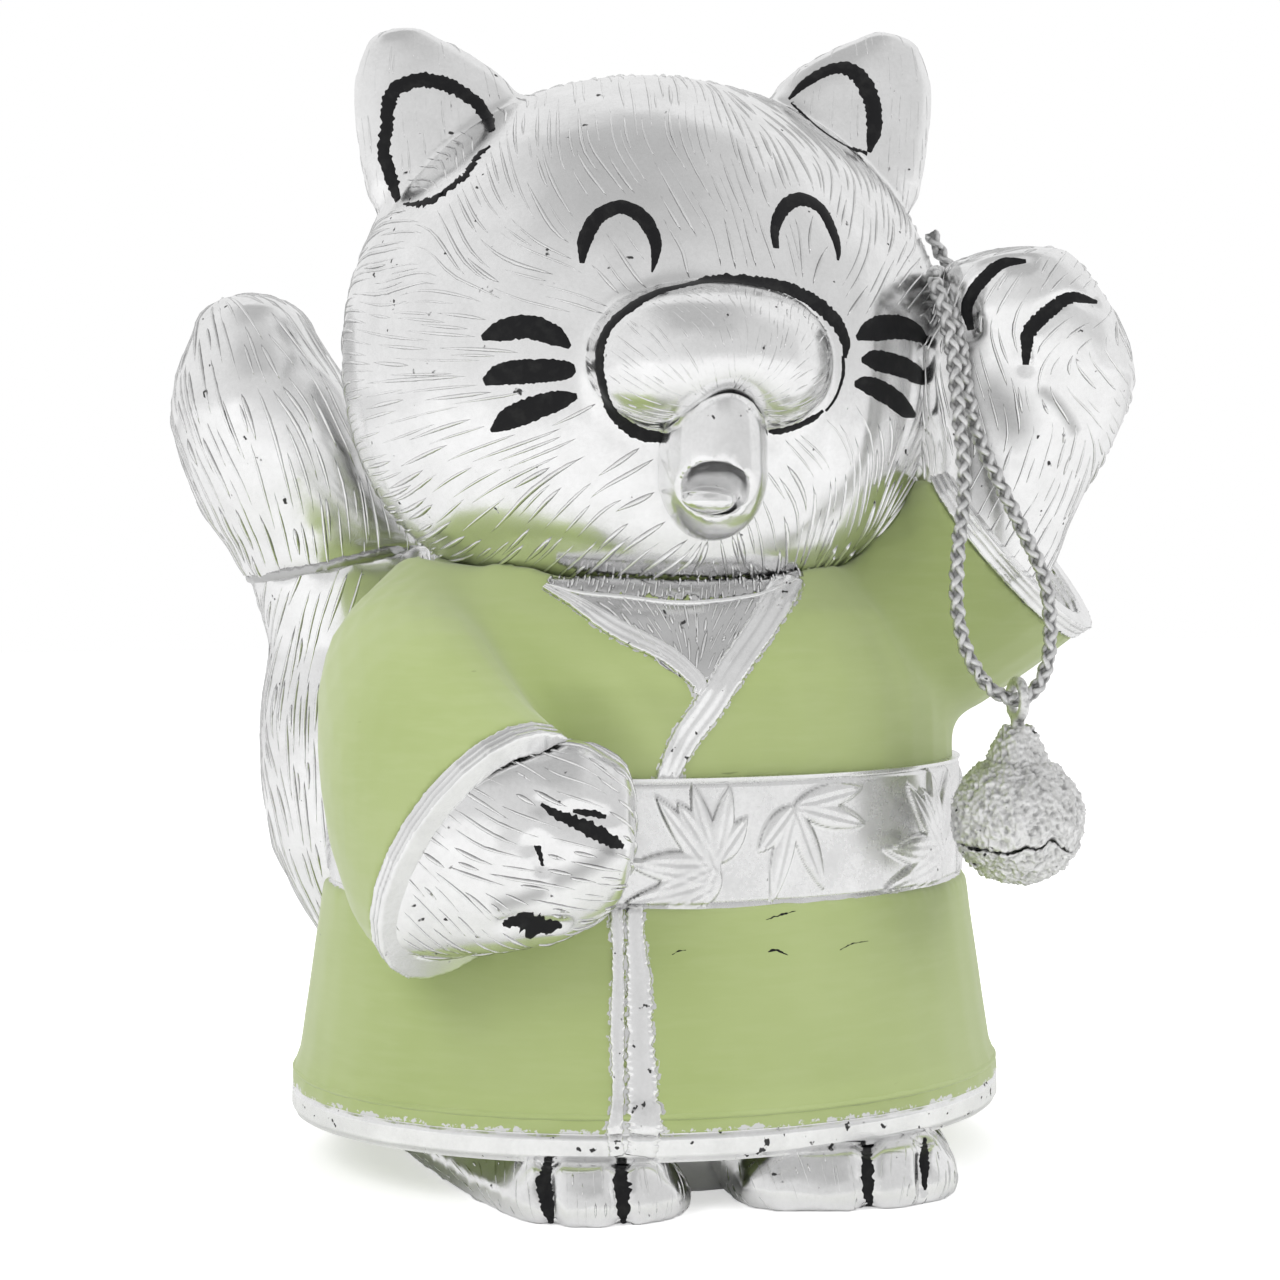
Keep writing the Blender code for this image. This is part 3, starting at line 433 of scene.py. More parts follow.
def behind(
    obj: Piece, way: Callable[[Vector], Vector], count: int, facing: float = 0.1
) -> list[tuple[Vector, Vector]]:
    """Growth directions for the part of a piece that the photograph doesn't show.

    Args:
        obj: The piece.
        way: The direction at a place.
        count: How many places are tried.
        facing: From which turn away from the camera they count.

    Returns:
        Places and directions.
    """
    rows, outward = places(obj), normals(obj)
    picked = np.random.default_rng(3).permutation(len(rows))[:count]
    kept = [index for index in picked if Vector(outward[index]).dot(PHOTO.ahead) > facing]
    return [(Vector(rows[index]), way(Vector(rows[index]))) for index in kept]


class Growth:
    """Which way the fur grows over a piece, read off a few combed strokes."""

    def __init__(self, sources: Sequence[tuple[Vector, Vector]], sway: float = 0.12) -> None:
        """Keeps the places and directions of the combed strokes.

        Args:
            sources: Places, and the growth direction at each.
            sway: How far single strokes stray from it.
        """
        self.sway = sway
        self.ways = [way.normalized() for _, way in sources]
        self.tree = KDTree(len(sources))
        for index, (place, _) in enumerate(sources):
            self.tree.insert(place, index)
        self.tree.balance()

    @classmethod
    def combed(
        cls,
        surface: Surface,
        combs: Iterable[Sequence[tuple[float, float]]],
        more: Sequence[tuple[Vector, Vector]] = (),
        sway: float = 0.12,
    ) -> "Growth":
        """Growth along lines of the photograph, laid on a surface."""
        sources = list(more)
        for comb in combs:
            hits = [surface.seen(x, y) for x, y in along_curve(comb, 9.0)]
            spots = [hit[0] for hit in hits if hit]
            sources += [(one, other - one) for one, other in zip(spots, spots[1:]) if (other - one).length > 0.01 * MM]
        return cls(sources, sway)

    def direction(self, place: Vector, normal: Vector) -> Vector:
        """The growth direction in the tangent plane, or a zero vector."""
        way = Vector((0.0, 0.0, 0.0))
        for _, index, away in self.tree.find_n(place, 7):
            way += self.ways[index] / (away * away + (1.2 * MM) ** 2)
        way.normalize()
        way += noise.noise_vector(place * 110.0) * self.sway
        way -= normal * way.dot(normal)
        return way.normalized() if way.length > 1e-6 else Vector((0.0, 0.0, 0.0))


@dataclass(frozen=True)
class Coat:
    """How the raised strokes of a piece are drawn, in millimetres."""

    spacing: float = 1.05
    length: float = 11.0
    width: float = 0.30
    height: float = 0.13
    seed: int = 1
    step: float = 0.35
    shortest: float = 0.25
    segments: int = 7
    tries: int = 30000
    sunk: float = 0.04

    def lines(
        self, obj: Piece, growth: Growth, allowed: Callable[[Vector], bool]
    ) -> list[list[tuple[Vector, Vector]]]:
        """Strokes that follow the growth and keep their distance from each other."""
        rng = np.random.default_rng(self.seed)
        surface = Surface(obj)
        rows, outward = places(obj), normals(obj)
        cell = self.spacing * MM
        taken: dict[tuple[int, int, int], int] = {}
        lines = []

        def key(place: Vector) -> tuple[int, int, int]:
            return (int(place.x // cell), int(place.y // cell), int(place.z // cell))

        for number, index in enumerate(rng.permutation(len(rows))[: self.tries]):
            start = Vector(rows[index])
            if key(start) in taken or not allowed(start):
                continue
            half = 0.5 * self.length * rng.uniform(0.5, 1.2) * MM
            line = [(start, Vector(outward[index]))]
            taken[key(start)] = number
            for sign in (1, -1):
                place, normal = line[-1] if sign > 0 else line[0]
                walked = 0.0
                while walked < half:
                    way = growth.direction(place, normal) * sign
                    if way.length < 0.5:
                        break
                    place, normal = surface.nearest(place + way * self.step * MM)
                    if taken.get(key(place), number) != number or not allowed(place):
                        break
                    taken[key(place)] = number
                    line = line + [(place, normal)] if sign > 0 else [(place, normal)] + line
                    walked += self.step * MM
            if len(line) * self.step > self.shortest * self.length and len(line) > 4:
                lines.append(line)
        return lines

    def grow(
        self,
        name: str,
        obj: Piece,
        growth: Growth,
        allowed: Callable[[Vector], bool] = lambda place: True,
        boost: Callable[[Vector], float] = lambda place: 1.0,
    ) -> Piece:
        """Models every stroke as a slim tapered ridge with its edges in the surface.

        Args:
            name: The new piece's name.
            obj: The casting that it lies on.
            growth: Its direction.
            allowed: Where strokes may be.
            boost: How much bigger they are at a place.

        Returns:
            One piece with all the strokes.
        """
        rng = np.random.default_rng(self.seed + 50)
        corners: list[Vector] = []
        faces: list[tuple[int, ...]] = []
        edge: list[float] = []
        for line in self.lines(obj, growth, allowed):
            size = rng.uniform(0.6, 1.25) * boost(line[len(line) // 2][0])
            wide, tall = 0.5 * self.width * size * MM, self.height * size * MM
            spots = [line[int(round(pick))] for pick in np.linspace(0, len(line) - 1, self.segments + 1)]
            first = len(corners)
            corners.append(spots[0][0] - spots[0][1] * 0.5 * self.sunk * MM)
            edge.append(1.0)
            for index in range(1, self.segments):
                place, normal = spots[index]
                side = (spots[index + 1][0] - spots[index - 1][0]).normalized().cross(normal).normalized()
                share = math.sin(math.pi * (index / self.segments) ** 0.8) ** 0.8
                low = place - normal * self.sunk * MM
                corners.append(low - side * wide * share)
                corners.append(place + normal * tall * share + side * wide * 0.2 * share)
                corners.append(low + side * wide * share)
                # Painted shade: full at one foot of each stroke and at its tips, half at the other foot, none on its
                # crest.
                edge += [1.0, 0.0, 0.55]
            corners.append(spots[-1][0] - spots[-1][1] * 0.5 * self.sunk * MM)
            edge.append(1.0)
            last = len(corners) - 1
            for side in range(3):
                faces.append((first, first + 1 + (side + 1) % 3, first + 1 + side))
                faces.append((last, last - 3 + side, last - 3 + (side + 1) % 3))
                for ring in range(self.segments - 2):
                    a = first + 1 + 3 * ring
                    faces.append((a + side, a + (side + 1) % 3, a + 3 + (side + 1) % 3, a + 3 + side))
        mesh = bpy.data.meshes.new(name)
        mesh.from_pydata(corners, [], faces)
        fur = bpy.data.objects.new(name, mesh)
        bpy.context.scene.collection.objects.link(fur)
        marked(fur, "groove", np.array(edge))
        welded(fur, outward=True)
        bpy.ops.object.shade_smooth()
        return fur


# Materials


Colour = tuple[float, float, float, float]


def grey(value: float) -> Colour:
    """A neutral colour."""
    return (value, value, value, 1.0)


class Tree:
    """A short hand for node trees."""

    def __init__(self, tree: bpy.types.NodeTree) -> None:
        """Empties the tree."""
        self.tree = tree
        tree.nodes.clear()

    @classmethod
    def of_material(cls, name: str) -> tuple[bpy.types.Material, "Tree"]:
        """A new material and its empty tree."""
        material = bpy.data.materials.new(name)
        material.use_nodes = True
        return material, cls(material.node_tree)

    def add(self, kind: str, inputs: dict[object, object] | None = None, **settings: object) -> bpy.types.Node:
        """Adds a node.

        Args:
            kind: Its type, without the leading words ShaderNode.
            inputs: A value or a socket for each named or numbered input.
            settings: Values for its own settings.

        Returns:
            The node.
        """
        node = self.tree.nodes.new(kind if kind.startswith("Node") else f"ShaderNode{kind}")
        for name, value in settings.items():
            setattr(node, name, value)
        for name, value in (inputs or {}).items():
            if isinstance(value, bpy.types.NodeSocket):
                self.tree.links.new(value, node.inputs[name])
            else:
                node.inputs[name].default_value = value
        return node

    def where(self) -> object:
        """The place on the object."""
        return self.add("TexCoord").outputs["Object"]

    def stretched(self, where: object, across: float, up: float) -> object:
        """A place scaled by one factor sideways and another upwards."""
        return self.add("Mapping", {"Vector": where, "Scale": (across, across, up)}).outputs["Vector"]

    def noise(self, where: object, scale: object, detail: float = 3.0, rough: float = 0.55) -> object:
        """A noise value at a vector."""
        values = {"Vector": where, "Scale": scale, "Detail": detail, "Roughness": rough}
        return self.add("TexNoise", values).outputs["Fac"]

    def spread(self, value: object, low: object, high: object, to_low: float = 0.0, to_high: float = 1.0) -> object:
        """Maps a range of a value onto another range."""
        values = {"Value": value, "From Min": low, "From Max": high, "To Min": to_low, "To Max": to_high}
        return self.add("MapRange", values).outputs["Result"]

    def maths(self, operation: str, one: object, other: object = 0.0) -> object:
        """One step of arithmetic."""
        return self.add("Math", {0: one, 1: other}, operation=operation).outputs[0]

    def times(self, one: object, other: object) -> object:
        """A product."""
        return self.maths("MULTIPLY", one, other)

    def mix(self, share: object, one: object, other: object) -> object:
        """Mixes two colours."""
        return self.add("Mix", {0: share, 6: one, 7: other}, data_type="RGBA").outputs[2]

    def attribute(self, name: str) -> object:
        """A value of the piece's own mesh."""
        return self.add("Attribute", attribute_name=name, attribute_type="GEOMETRY").outputs["Fac"]

    def group(self, tree: bpy.types.NodeTree, **inputs: object) -> object:
        """The outputs of a shared group, by name."""
        return self.add("Group", inputs, node_tree=tree).outputs

    def shade(self, height: object, strength: float, distance: float, values: dict[str, object]) -> None:
        """Ends a material with its main shader.

        Args:
            height: The relief of its finest detail.
            strength: How much of it shows.
            distance: Its depth in millimetres.
            values: The shader's own inputs.
        """
        bump = self.add("Bump", {"Height": height, "Strength": strength, "Distance": distance * MM})
        shader = self.add("BsdfPrincipled", {**values, "Normal": bump.outputs["Normal"]})
        self.add("OutputMaterial", {"Surface": shader.outputs["BSDF"]})


class Effects:
    """Shader groups that several finishes share."""

    def __init__(self) -> None:
        """Builds each group once."""
        self.specks = self.group("tarnish_specks", ("Scale", "Amount"), ("Mask",), self.make_specks)
        self.plating = self.group("plating_waves", ("Scale",), ("Value", "Height"), self.make_plating)
        self.ragged = self.group("ragged_edge", ("Distance", "Reach", "Scale"), ("Mask",), self.make_ragged)

    @staticmethod
    def group(name: str, inputs: Iterable[str], outputs: Iterable[str], make: Callable) -> bpy.types.NodeTree:
        """Makes a group with float sockets and fills it."""
        tree = bpy.data.node_groups.new(name, "ShaderNodeTree")
        for words, way in ((inputs, "INPUT"), (outputs, "OUTPUT")):
            for word in words:
                tree.interface.new_socket(word, in_out=way, socket_type="NodeSocketFloat")
        nodes = Tree(tree)
        entry = nodes.add("NodeGroupInput")
        nodes.add("NodeGroupOutput", make(nodes, entry.outputs))
        return tree

    @staticmethod
    def make_specks(nodes: Tree, entry: object) -> dict[str, object]:
        """Small dark pits in clusters."""
        where = nodes.where()
        fine = nodes.noise(where, entry["Scale"], 2.0)
        broad = nodes.noise(where, nodes.times(entry["Scale"], 0.09), 1.0)
        limit = nodes.maths("SUBTRACT", 0.78, nodes.times(broad, entry["Amount"]))
        return {"Mask": nodes.spread(fine, limit, nodes.maths("ADD", limit, 0.035))}

    @staticmethod
    def make_plating(nodes: Tree, entry: object) -> dict[str, object]:
        """Slow waves of a hand-finished casting and its fine grain."""
        where = nodes.where()
        slow = nodes.noise(where, entry["Scale"], 2.0)
        fine = nodes.noise(where, nodes.times(entry["Scale"], 9.0), 3.0)
        value, height = (
            nodes.maths("ADD", nodes.times(slow, share), nodes.times(fine, 1.0 - share)) for share in (0.6, 0.75)
        )
        return {"Value": value, "Height": height}

    @staticmethod
    def make_ragged(nodes: Tree, entry: object) -> dict[str, object]:
        """One inside a ragged band along an edge, from a distance in millimetres."""
        tear = nodes.noise(nodes.where(), entry["Scale"], 4.0, 0.7)
        limit = nodes.times(nodes.spread(tear, 0.32, 0.72), entry["Reach"])
        return {"Mask": nodes.maths("LESS_THAN", entry["Distance"], limit)}


@dataclass(frozen=True)
class SilverFinish:
    """Satin plating, with painted shade in its grooves and hollows, and its tarnish specks."""

    name: str
    shine: Colour = (0.93, 0.93, 0.932, 1.0)
    dull: Colour = grey(0.84)
    # The grey of the painted shade, and how far it darkens the silver.
    groove: Colour = grey(0.36)
    groove_share: float = 0.75
    roughness: tuple[float, float] = (0.17, 0.27)
    wave: float = 260.0
    bump: float = 0.045
    speck: Colour = grey(0.04)
    speck_scale: float = 620.0
    speck_amount: float = 0.12
    paint: Colour = (0.36, 0.43, 0.17, 1.0)
    paint_reach: float = 0.0
    paint_scale: float = 900.0

    def build(self, effects: Effects) -> bpy.types.Material:
        """Builds the material.

        Args:
            effects: The shared shader groups.

        Returns:
            The material.
        """
        material, nodes = Tree.of_material(self.name)
        plating = nodes.group(effects.plating, Scale=self.wave)
        specks = nodes.group(effects.specks, Scale=self.speck_scale, Amount=self.speck_amount)["Mask"]
        value = nodes.spread(plating["Value"], 0.35, 0.65)
        rough = nodes.spread(value, 0.0, 1.0, self.roughness[1], self.roughness[0])
        # Painted shade: the colour turns towards a dark grey where a piece marks its grooves, crevices and hollows.
        groove = nodes.spread(nodes.attribute("groove"), 0.2, 1.0, 0.0, self.groove_share)
        colour = nodes.mix(groove, nodes.mix(value, self.dull, self.shine), self.groove)
        colour = nodes.mix(specks, colour, self.speck)
        rough = nodes.maths("ADD", rough, nodes.times(specks, 0.4))
        metal = nodes.maths("SUBTRACT", 1.0, nodes.times(specks, 0.8))
        if self.paint_reach:
            edge = {"Distance": nodes.attribute("rim_gap"), "Reach": self.paint_reach, "Scale": self.paint_scale}
            mask = nodes.group(effects.ragged, **edge)["Mask"]
            colour = nodes.mix(mask, colour, self.paint)
            rough = nodes.maths("MAXIMUM", rough, nodes.times(mask, 0.55))
            metal = nodes.times(metal, nodes.maths("SUBTRACT", 1.0, mask))
        values = {"Base Color": colour, "Roughness": rough, "Metallic": metal}
        nodes.shade(plating["Height"], self.bump, 0.4, values)
        return material


@dataclass(frozen=True)
class PaintFinish:
    """Matte paint laid by brush, worn through to the silver along the trims."""

    name: str
    colour: Colour = (0.405, 0.490, 0.188, 1.0)
    light: Colour = (0.46, 0.54, 0.245, 1.0)
    dark: Colour = (0.365, 0.45, 0.160, 1.0)
    scuff: Colour = (0.13, 0.16, 0.06, 1.0)
    bare: Colour = grey(0.7)
    roughness: tuple[float, float] = (0.62, 0.3)
    wear_reach: float = 0.35
    wear_scale: float = 1000.0

    def build(self, effects: Effects) -> bpy.types.Material:
        """Builds the material, as SilverFinish does."""
        material, nodes = Tree.of_material(self.name)
        where = nodes.where()
        broad = nodes.noise(where, 42.0, 3.0)
        strokes = nodes.noise(nodes.stretched(where, 150.0, 900.0), 1.0, 3.0)
        colour = nodes.mix(0.5, nodes.mix(nodes.spread(broad, 0.3, 0.7), self.dark, self.light), self.colour)
        colour = nodes.mix(nodes.spread(strokes, 0.45, 0.68, 0.0, 0.3), colour, self.light)
        fine = nodes.spread(nodes.noise(nodes.stretched(where, 260.0, 1500.0), 1.0, 2.0), 0.70, 0.74)
        worn = nodes.times(fine, nodes.spread(nodes.noise(where, 95.0, 1.0), 0.60, 0.66))
        colour = nodes.mix(nodes.times(worn, 0.5), colour, self.scuff)
        edge = {"Distance": nodes.attribute("trim_gap"), "Reach": self.wear_reach, "Scale": self.wear_scale}
        mask = nodes.group(effects.ragged, **edge)["Mask"]
        values = {
            "Base Color": nodes.mix(mask, colour, self.bare),
            "Roughness": nodes.spread(mask, 0.0, 1.0, *self.roughness),
            "Metallic": mask,
            "Specular IOR Level": 0.35,
            "Sheen Weight": 0.4,
            "Sheen Roughness": 0.55,
        }
        nodes.shade(strokes, 0.08, 0.1, values)
        return material


@dataclass(frozen=True)
class EnamelFinish:
    """Black enamel, a little greyed by wear."""

    name: str
    colour: Colour = (0.008, 0.008, 0.009, 1.0)
    worn: Colour = grey(0.022)

    def build(self) -> bpy.types.Material:
        """Builds the material."""
        material, nodes = Tree.of_material(self.name)
        cloud = nodes.noise(nodes.where(), 700.0, 3.0)
        values = {
            "Base Color": nodes.mix(nodes.spread(cloud, 0.5, 0.75), self.colour, self.worn),
            "Roughness": nodes.spread(cloud, 0.3, 0.7, 0.4, 0.6),
            "Specular IOR Level": 0.2,
        }
        nodes.shade(cloud, 0.12, 0.1, values)
        return material


@dataclass(frozen=True)
class Finish:
    """A material and the slot of the record that it stands for."""

    slot: Slot
    material: bpy.types.Material


class Finishes:
    """Every finish of the figurine."""

    def __init__(self) -> None:
        """Builds them all."""
        effects = Effects()

        def silver(slot: Slot, name: str, **values: object) -> Finish:
            return Finish(slot, SilverFinish(name, **values).build(effects))

        self.silver = silver(Slot.POLISHED, "satin_silver")
        self.plain_trim = Finish(Slot.TRIM, self.silver.material)
        # The fur's painted shade along its strokes is a lighter grey.
        self.fur = silver(Slot.POLISHED, "fur_silver", groove=grey(0.45), groove_share=0.7, speck_amount=0.05)
        self.trim = silver(Slot.TRIM, "trim_silver_worn", paint_reach=0.22, speck_amount=0.2, speck_scale=900.0)
        self.belt = silver(
            Slot.BELT, "embossed_silver", shine=grey(0.86), dull=grey(0.76), roughness=(0.22, 0.32), speck_amount=0.1
        )
        grainy = {"dull": (0.74, 0.74, 0.73, 1.0), "roughness": (0.30, 0.46), "bump": 0.6, "speck_amount": 0.16}
        self.bell = silver(Slot.BELL, "granular_silver", wave=900.0, **grainy)
        thread = {"shine": grey(0.86), "dull": grey(0.62), "groove": grey(0.16), "groove_share": 0.85}
        self.braid = silver(Slot.CORD, "silver_thread", wave=900.0, roughness=(0.32, 0.5), bump=0.4, **thread)
        self.kimono = Finish(Slot.KIMONO, PaintFinish("kimono_paint").build(effects))
        self.enamel = Finish(Slot.ENAMEL, EnamelFinish("line_enamel").build())


def presented(obj: Piece, finish: Finish, *nodes: str, body: Body = Body.FIGURE) -> Piece:
    """Finishes a piece: its material, its body and the solids that it stands for.

    Args:
        obj: The piece.
        finish: What it is made of.
        nodes: The solids that it replaces.
        body: What it moves with.

    Returns:
        The same piece.
    """
    obj.data.materials.clear()
    obj.data.materials.append(finish.material)
    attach(obj, body.value)
    if nodes:
        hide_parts(*nodes)
    log.info("%s: %d faces", obj.name, len(obj.data.polygons))
    return obj


# Lines and bands


@dataclass(frozen=True)
class Band:
    """A band laid along a line of the photograph: across, down and width in pixels.

    The profile gives its height in millimetres over the surface, from one edge to the other.
    """

    name: str
    points: Line
    profile: tuple[float, ...] = (-0.06, 0.05, 0.09, 0.11, 0.12, 0.11, 0.09, 0.05, -0.06)
    ragged: float = 0.08
    step: float = 1.3
    thickness: float = 0.35
    smooth: int = 3

    def build(self, surface: Surface, swell: float = 1.0) -> Piece | None:
        """Lays the band on a surface.

        Args:
            surface: What it lies on.
            swell: How much wider it is, for what its sunken edges lose.

        Returns:
            The band's piece.
        """
        seen = [(surface.seen(x, y), width) for x, y, width in along_curve(self.points, self.step)]
        hits = [(hit[0], hit[1], width) for hit, width in seen if hit is not None]
        if len(hits) < 3:
            log.warning("%s isn't on its surface", self.name)
            return None
        columns = len(self.profile)
        bpy.ops.object.select_all(action="DESELECT")
        bpy.ops.mesh.primitive_grid_add(x_subdivisions=columns - 1, y_subdivisions=len(hits) - 1, size=2.0)
        obj = bpy.context.object
        obj.name = self.name
        per_pixel = PHOTO.scale(hits[len(hits) // 2][0]) * swell
        rows, rim = [], []
        for index, (place, normal, width) in enumerate(hits):
            span = hits[min(len(hits) - 1, index + self.smooth)][0] - hits[max(0, index - self.smooth)][0]
            side = normal.cross(span).normalized()
            for column, lift in enumerate(self.profile):
                across = 2.0 * column / (columns - 1) - 1.0
                tear = noise.noise(place * 2600.0 + Vector((math.copysign(3.0, across), 0.0, 0.0)))
                reach = 0.5 * width * per_pixel * across * (1.0 + self.ragged * 2.0 * tear * abs(across))
                spot, up = surface.nearest(place + side * reach)
                rows.append(list(spot + up * lift * MM))
                rim.append(0.5 * width * per_pixel / MM * (1.0 - abs(across)))
        moved(obj, np.array(rows))
        middle = obj.data.polygons[len(obj.data.polygons) // 2]
        if middle.normal.dot(hits[len(hits) // 2][1]) < 0:
            obj.data.flip_normals()
        marked(obj, "rim_gap", np.array(rim))
        applied(obj, "SOLIDIFY", thickness=self.thickness * MM, offset=-1.0)
        bpy.ops.object.shade_smooth()
        return obj


@dataclass(frozen=True)
class Wrap:
    """A band wrapped all round the body, in millimetres, as one closed ring."""

    name: str
    low: float
    high: float
    rows: int
    columns: int
    wall: float = 1.2
    blur: int = 10

    def build(
        self, surface: Surface, height: Callable[[np.ndarray, np.ndarray], np.ndarray], kept: tuple[float, float]
    ) -> Piece:
        """Wraps the band.

        Args:
            surface: What it covers.
            height: Millimetres over the surface, from the angle in radians and the level in millimetres.
            kept: The levels between which the surface is measured.

        Returns:
            The band's piece.
        """
        bpy.ops.object.select_all(action="DESELECT")
        bpy.ops.mesh.primitive_grid_add(x_subdivisions=self.columns, y_subdivisions=self.rows + 2, size=2.0)
        obj = bpy.context.object
        obj.name = self.name
        angles = 2.0 * np.pi * np.arange(self.columns) / self.columns
        levels = np.linspace(self.low, self.high, self.rows)
        far = np.empty((self.rows, self.columns))
        for row, level in enumerate(np.clip(levels, *kept)):
            for column, angle in enumerate(angles):
                out = Vector((math.cos(angle), math.sin(angle), 0.0))
                hit = surface.tree.ray_cast(Vector((0.0, 0.0, level * MM)) + out * OUTSIDE, -out)
                far[row, column] = math.hypot(hit[0].x, hit[0].y) / MM
        shifts = range(-self.blur, self.blur + 1)
        far = sum(np.roll(far, shift, axis=1) for shift in shifts) / len(shifts)
        grid_angle, grid_level = np.meshgrid(angles, levels)
        outer = far + height(grid_angle, grid_level)
        radius = np.vstack([outer, far[[-1, 0]] - self.wall, outer[:1]])
        level = np.vstack([grid_level, *[np.full((1, self.columns), end) for end in (self.high, self.low, self.low)]])
        angle = np.tile(angles, (self.rows + 3, 1))
        spots = np.stack([radius * np.cos(angle), radius * np.sin(angle), level], axis=2) * MM
        moved(obj, np.concatenate([spots, spots[:, :1]], axis=1).reshape(-1, 3))
        welded(obj, outward=True)
        bpy.ops.object.shade_smooth_by_angle(angle=math.radians(50.0))
        return obj


# Sub-assemblies


def rooted(obj: Piece, seat: Surface, reach: float = 1.1, depth: float = 0.5) -> None:
    """Sinks the edge of a piece into what it grows out of, in millimetres."""
    rows = places(obj)
    far = seat.distances(rows, (reach + 0.1) * MM)
    for index in np.nonzero(far < reach * MM)[0]:
        _, normal = seat.nearest(rows[index])
        rows[index] -= np.array(normal) * depth * MM
    moved(obj, rows)


@dataclass
class Head:
    """Head, ears, muzzle, jaw and tongue, with their fur and enamel."""

    finishes: Finishes
    centre: tuple[float, float, float] = (0.0, -30.0, 89.0)
    nose: tuple[float, float] = (728.0, 402.0)
    seam_rounds: int = 24
    line_swell: float = 1.16
    jaw_rise: float = 3.0
    jaw_widening: float = 0.15
    jaw_forward: float = 0.9
    muzzle_power: float = 2.8
    muzzle_corners: float = 0.4
    notch_rise: float = 2.3
    notch_depth: float = 0.6
    notch_width: float = 4.2
    fur_gap: float = 0.42
    combs: tuple[Line, ...] = (
        "625,302 574,266 519,245 482,216 467,186",
        "578,254 551,237 532,207 519,178 511,144",
        "587,207 568,178 559,148 557,123",
        "629,195 604,165 589,144 585,115",
        "654,203 629,178 614,144 610,117",
        "604,308 541,289 490,273 461,245 444,207",
        "583,317 519,302 477,279 454,260 439,228",
        "541,315 505,306 477,294 448,289 414,287 383,300",
        "448,262 431,247 404,243 383,247",
        "635,294 612,271 604,256",
        "681,212 663,181 650,158",
        "711,212 694,190 681,166",
        "728,190 720,173 711,147 705,112",
        "754,168 744,142 737,116",
        "776,168 763,142 748,119",
        "804,155 791,136 770,119",
        "685,103 683,86",
        "741,277 737,244 728,212 724,199",
        "772,273 770,255 763,234",
        "846,286 861,262 869,234 869,212",
        "861,301 880,273 893,247",
        "852,212 856,194 852,168 837,151",
        "887,210 880,181 867,164",
        "902,314 924,288 939,268",
        "838,403 856,423 866,454 864,490 861,523",
        "815,433 836,454 843,490 836,528",
        "787,451 805,477 813,505 805,538",
        "782,487 795,510 800,530",
        "861,408 879,439 879,477 871,505",
        "917,349 932,382 935,418 917,464",
        "917,418 904,451 892,477",
        "606,449 575,464 545,484",
        "624,456 585,484 560,510",
        "642,490 603,505 570,541",
        "657,505 619,535 593,563",
        "670,535 644,553 626,571",
        "738,535 743,561",
        "777,525 782,558",
        "483,333 402,321 359,308",
        "483,364 402,358 352,352",
        "483,389 408,395 359,408",
        "489,414 433,433 377,457",
        "545,426 464,464 408,501",
        "576,445 501,482 452,520",
        "607,457 545,495 508,538",
    )
    face_lines: tuple[Band, ...] = (
        Band("eye_line_right", "582,263,5 585,240,15 598,217,16 620,207,16 642,217,16 655,240,13 655,258,8 "
            "652,272,2"),
        Band("eye_line_left", "776,248,7 775,228,11 784,208,14 800,199,16 820,208,15 833,232,13 838,250,8 838,260,3"),
        Band("whisker_right_upper", "482,338,6 500,331,21 530,327,24 555,336,20 570,347,5"),
        Band("whisker_right_middle", "484,382,8 502,374,23 535,371,24 565,370,19 575,368,8"),
        Band("whisker_right_lower", "491,431,4 507,420,22 535,408,24 560,400,19 577,396,6"),
        Band("whisker_left_upper", "857,338,6 872,330,23 898,327,25 918,333,20 929,343,4"),
        Band("whisker_left_middle", "862,360,6 875,360,20 900,366,22 918,375,19 927,382,6"),
        Band("whisker_left_lower", "855,384,6 868,385,18 890,396,22 905,408,19 915,415,6"),
        Band("muzzle_line_right", "663,437,11 640,433,15 613,412,16 600,375,16 602,340,16 620,315,17 655,293,18 "
            "690,284,18 725,280,18 770,285,17 805,297,17 833,318,17 845,340,13 845,358,5", ragged=0.18),
        Band("muzzle_line_left", "843,356,4 843,375,4 836,397,3 826,411,3", ragged=0.3),
        Band("muzzle_dash_left", "769,431,4 780,431,8 797,426,7 812,419,7 823,411,3", ragged=0.25),
    )
    ear_lines: tuple[Band, ...] = (
        Band("ear_line_right", "398,200,8 391,178,14 384,153,14 387,127,13 390,98,15 404,84,15 427,80,15 452,87,15 "
            "473,100,14 486,115,13 492,131,8", ragged=0.22),
        Band("ear_fringe_right", "404,204,3 423,203,8 439,195,9 456,182,8 467,174,8 477,157,8 490,146,4", ragged=0.9),
        Band("ear_line_left", "789,99,3 804,84,10 826,71,12 846,68,15 862,80,18 873,105,18 874,130,17 "
            "869,152,5", ragged=0.15),
        Band("ear_fringe_left", "791,103,2 820,129,5 848,147,5 867,153,4", ragged=0.8),
    )

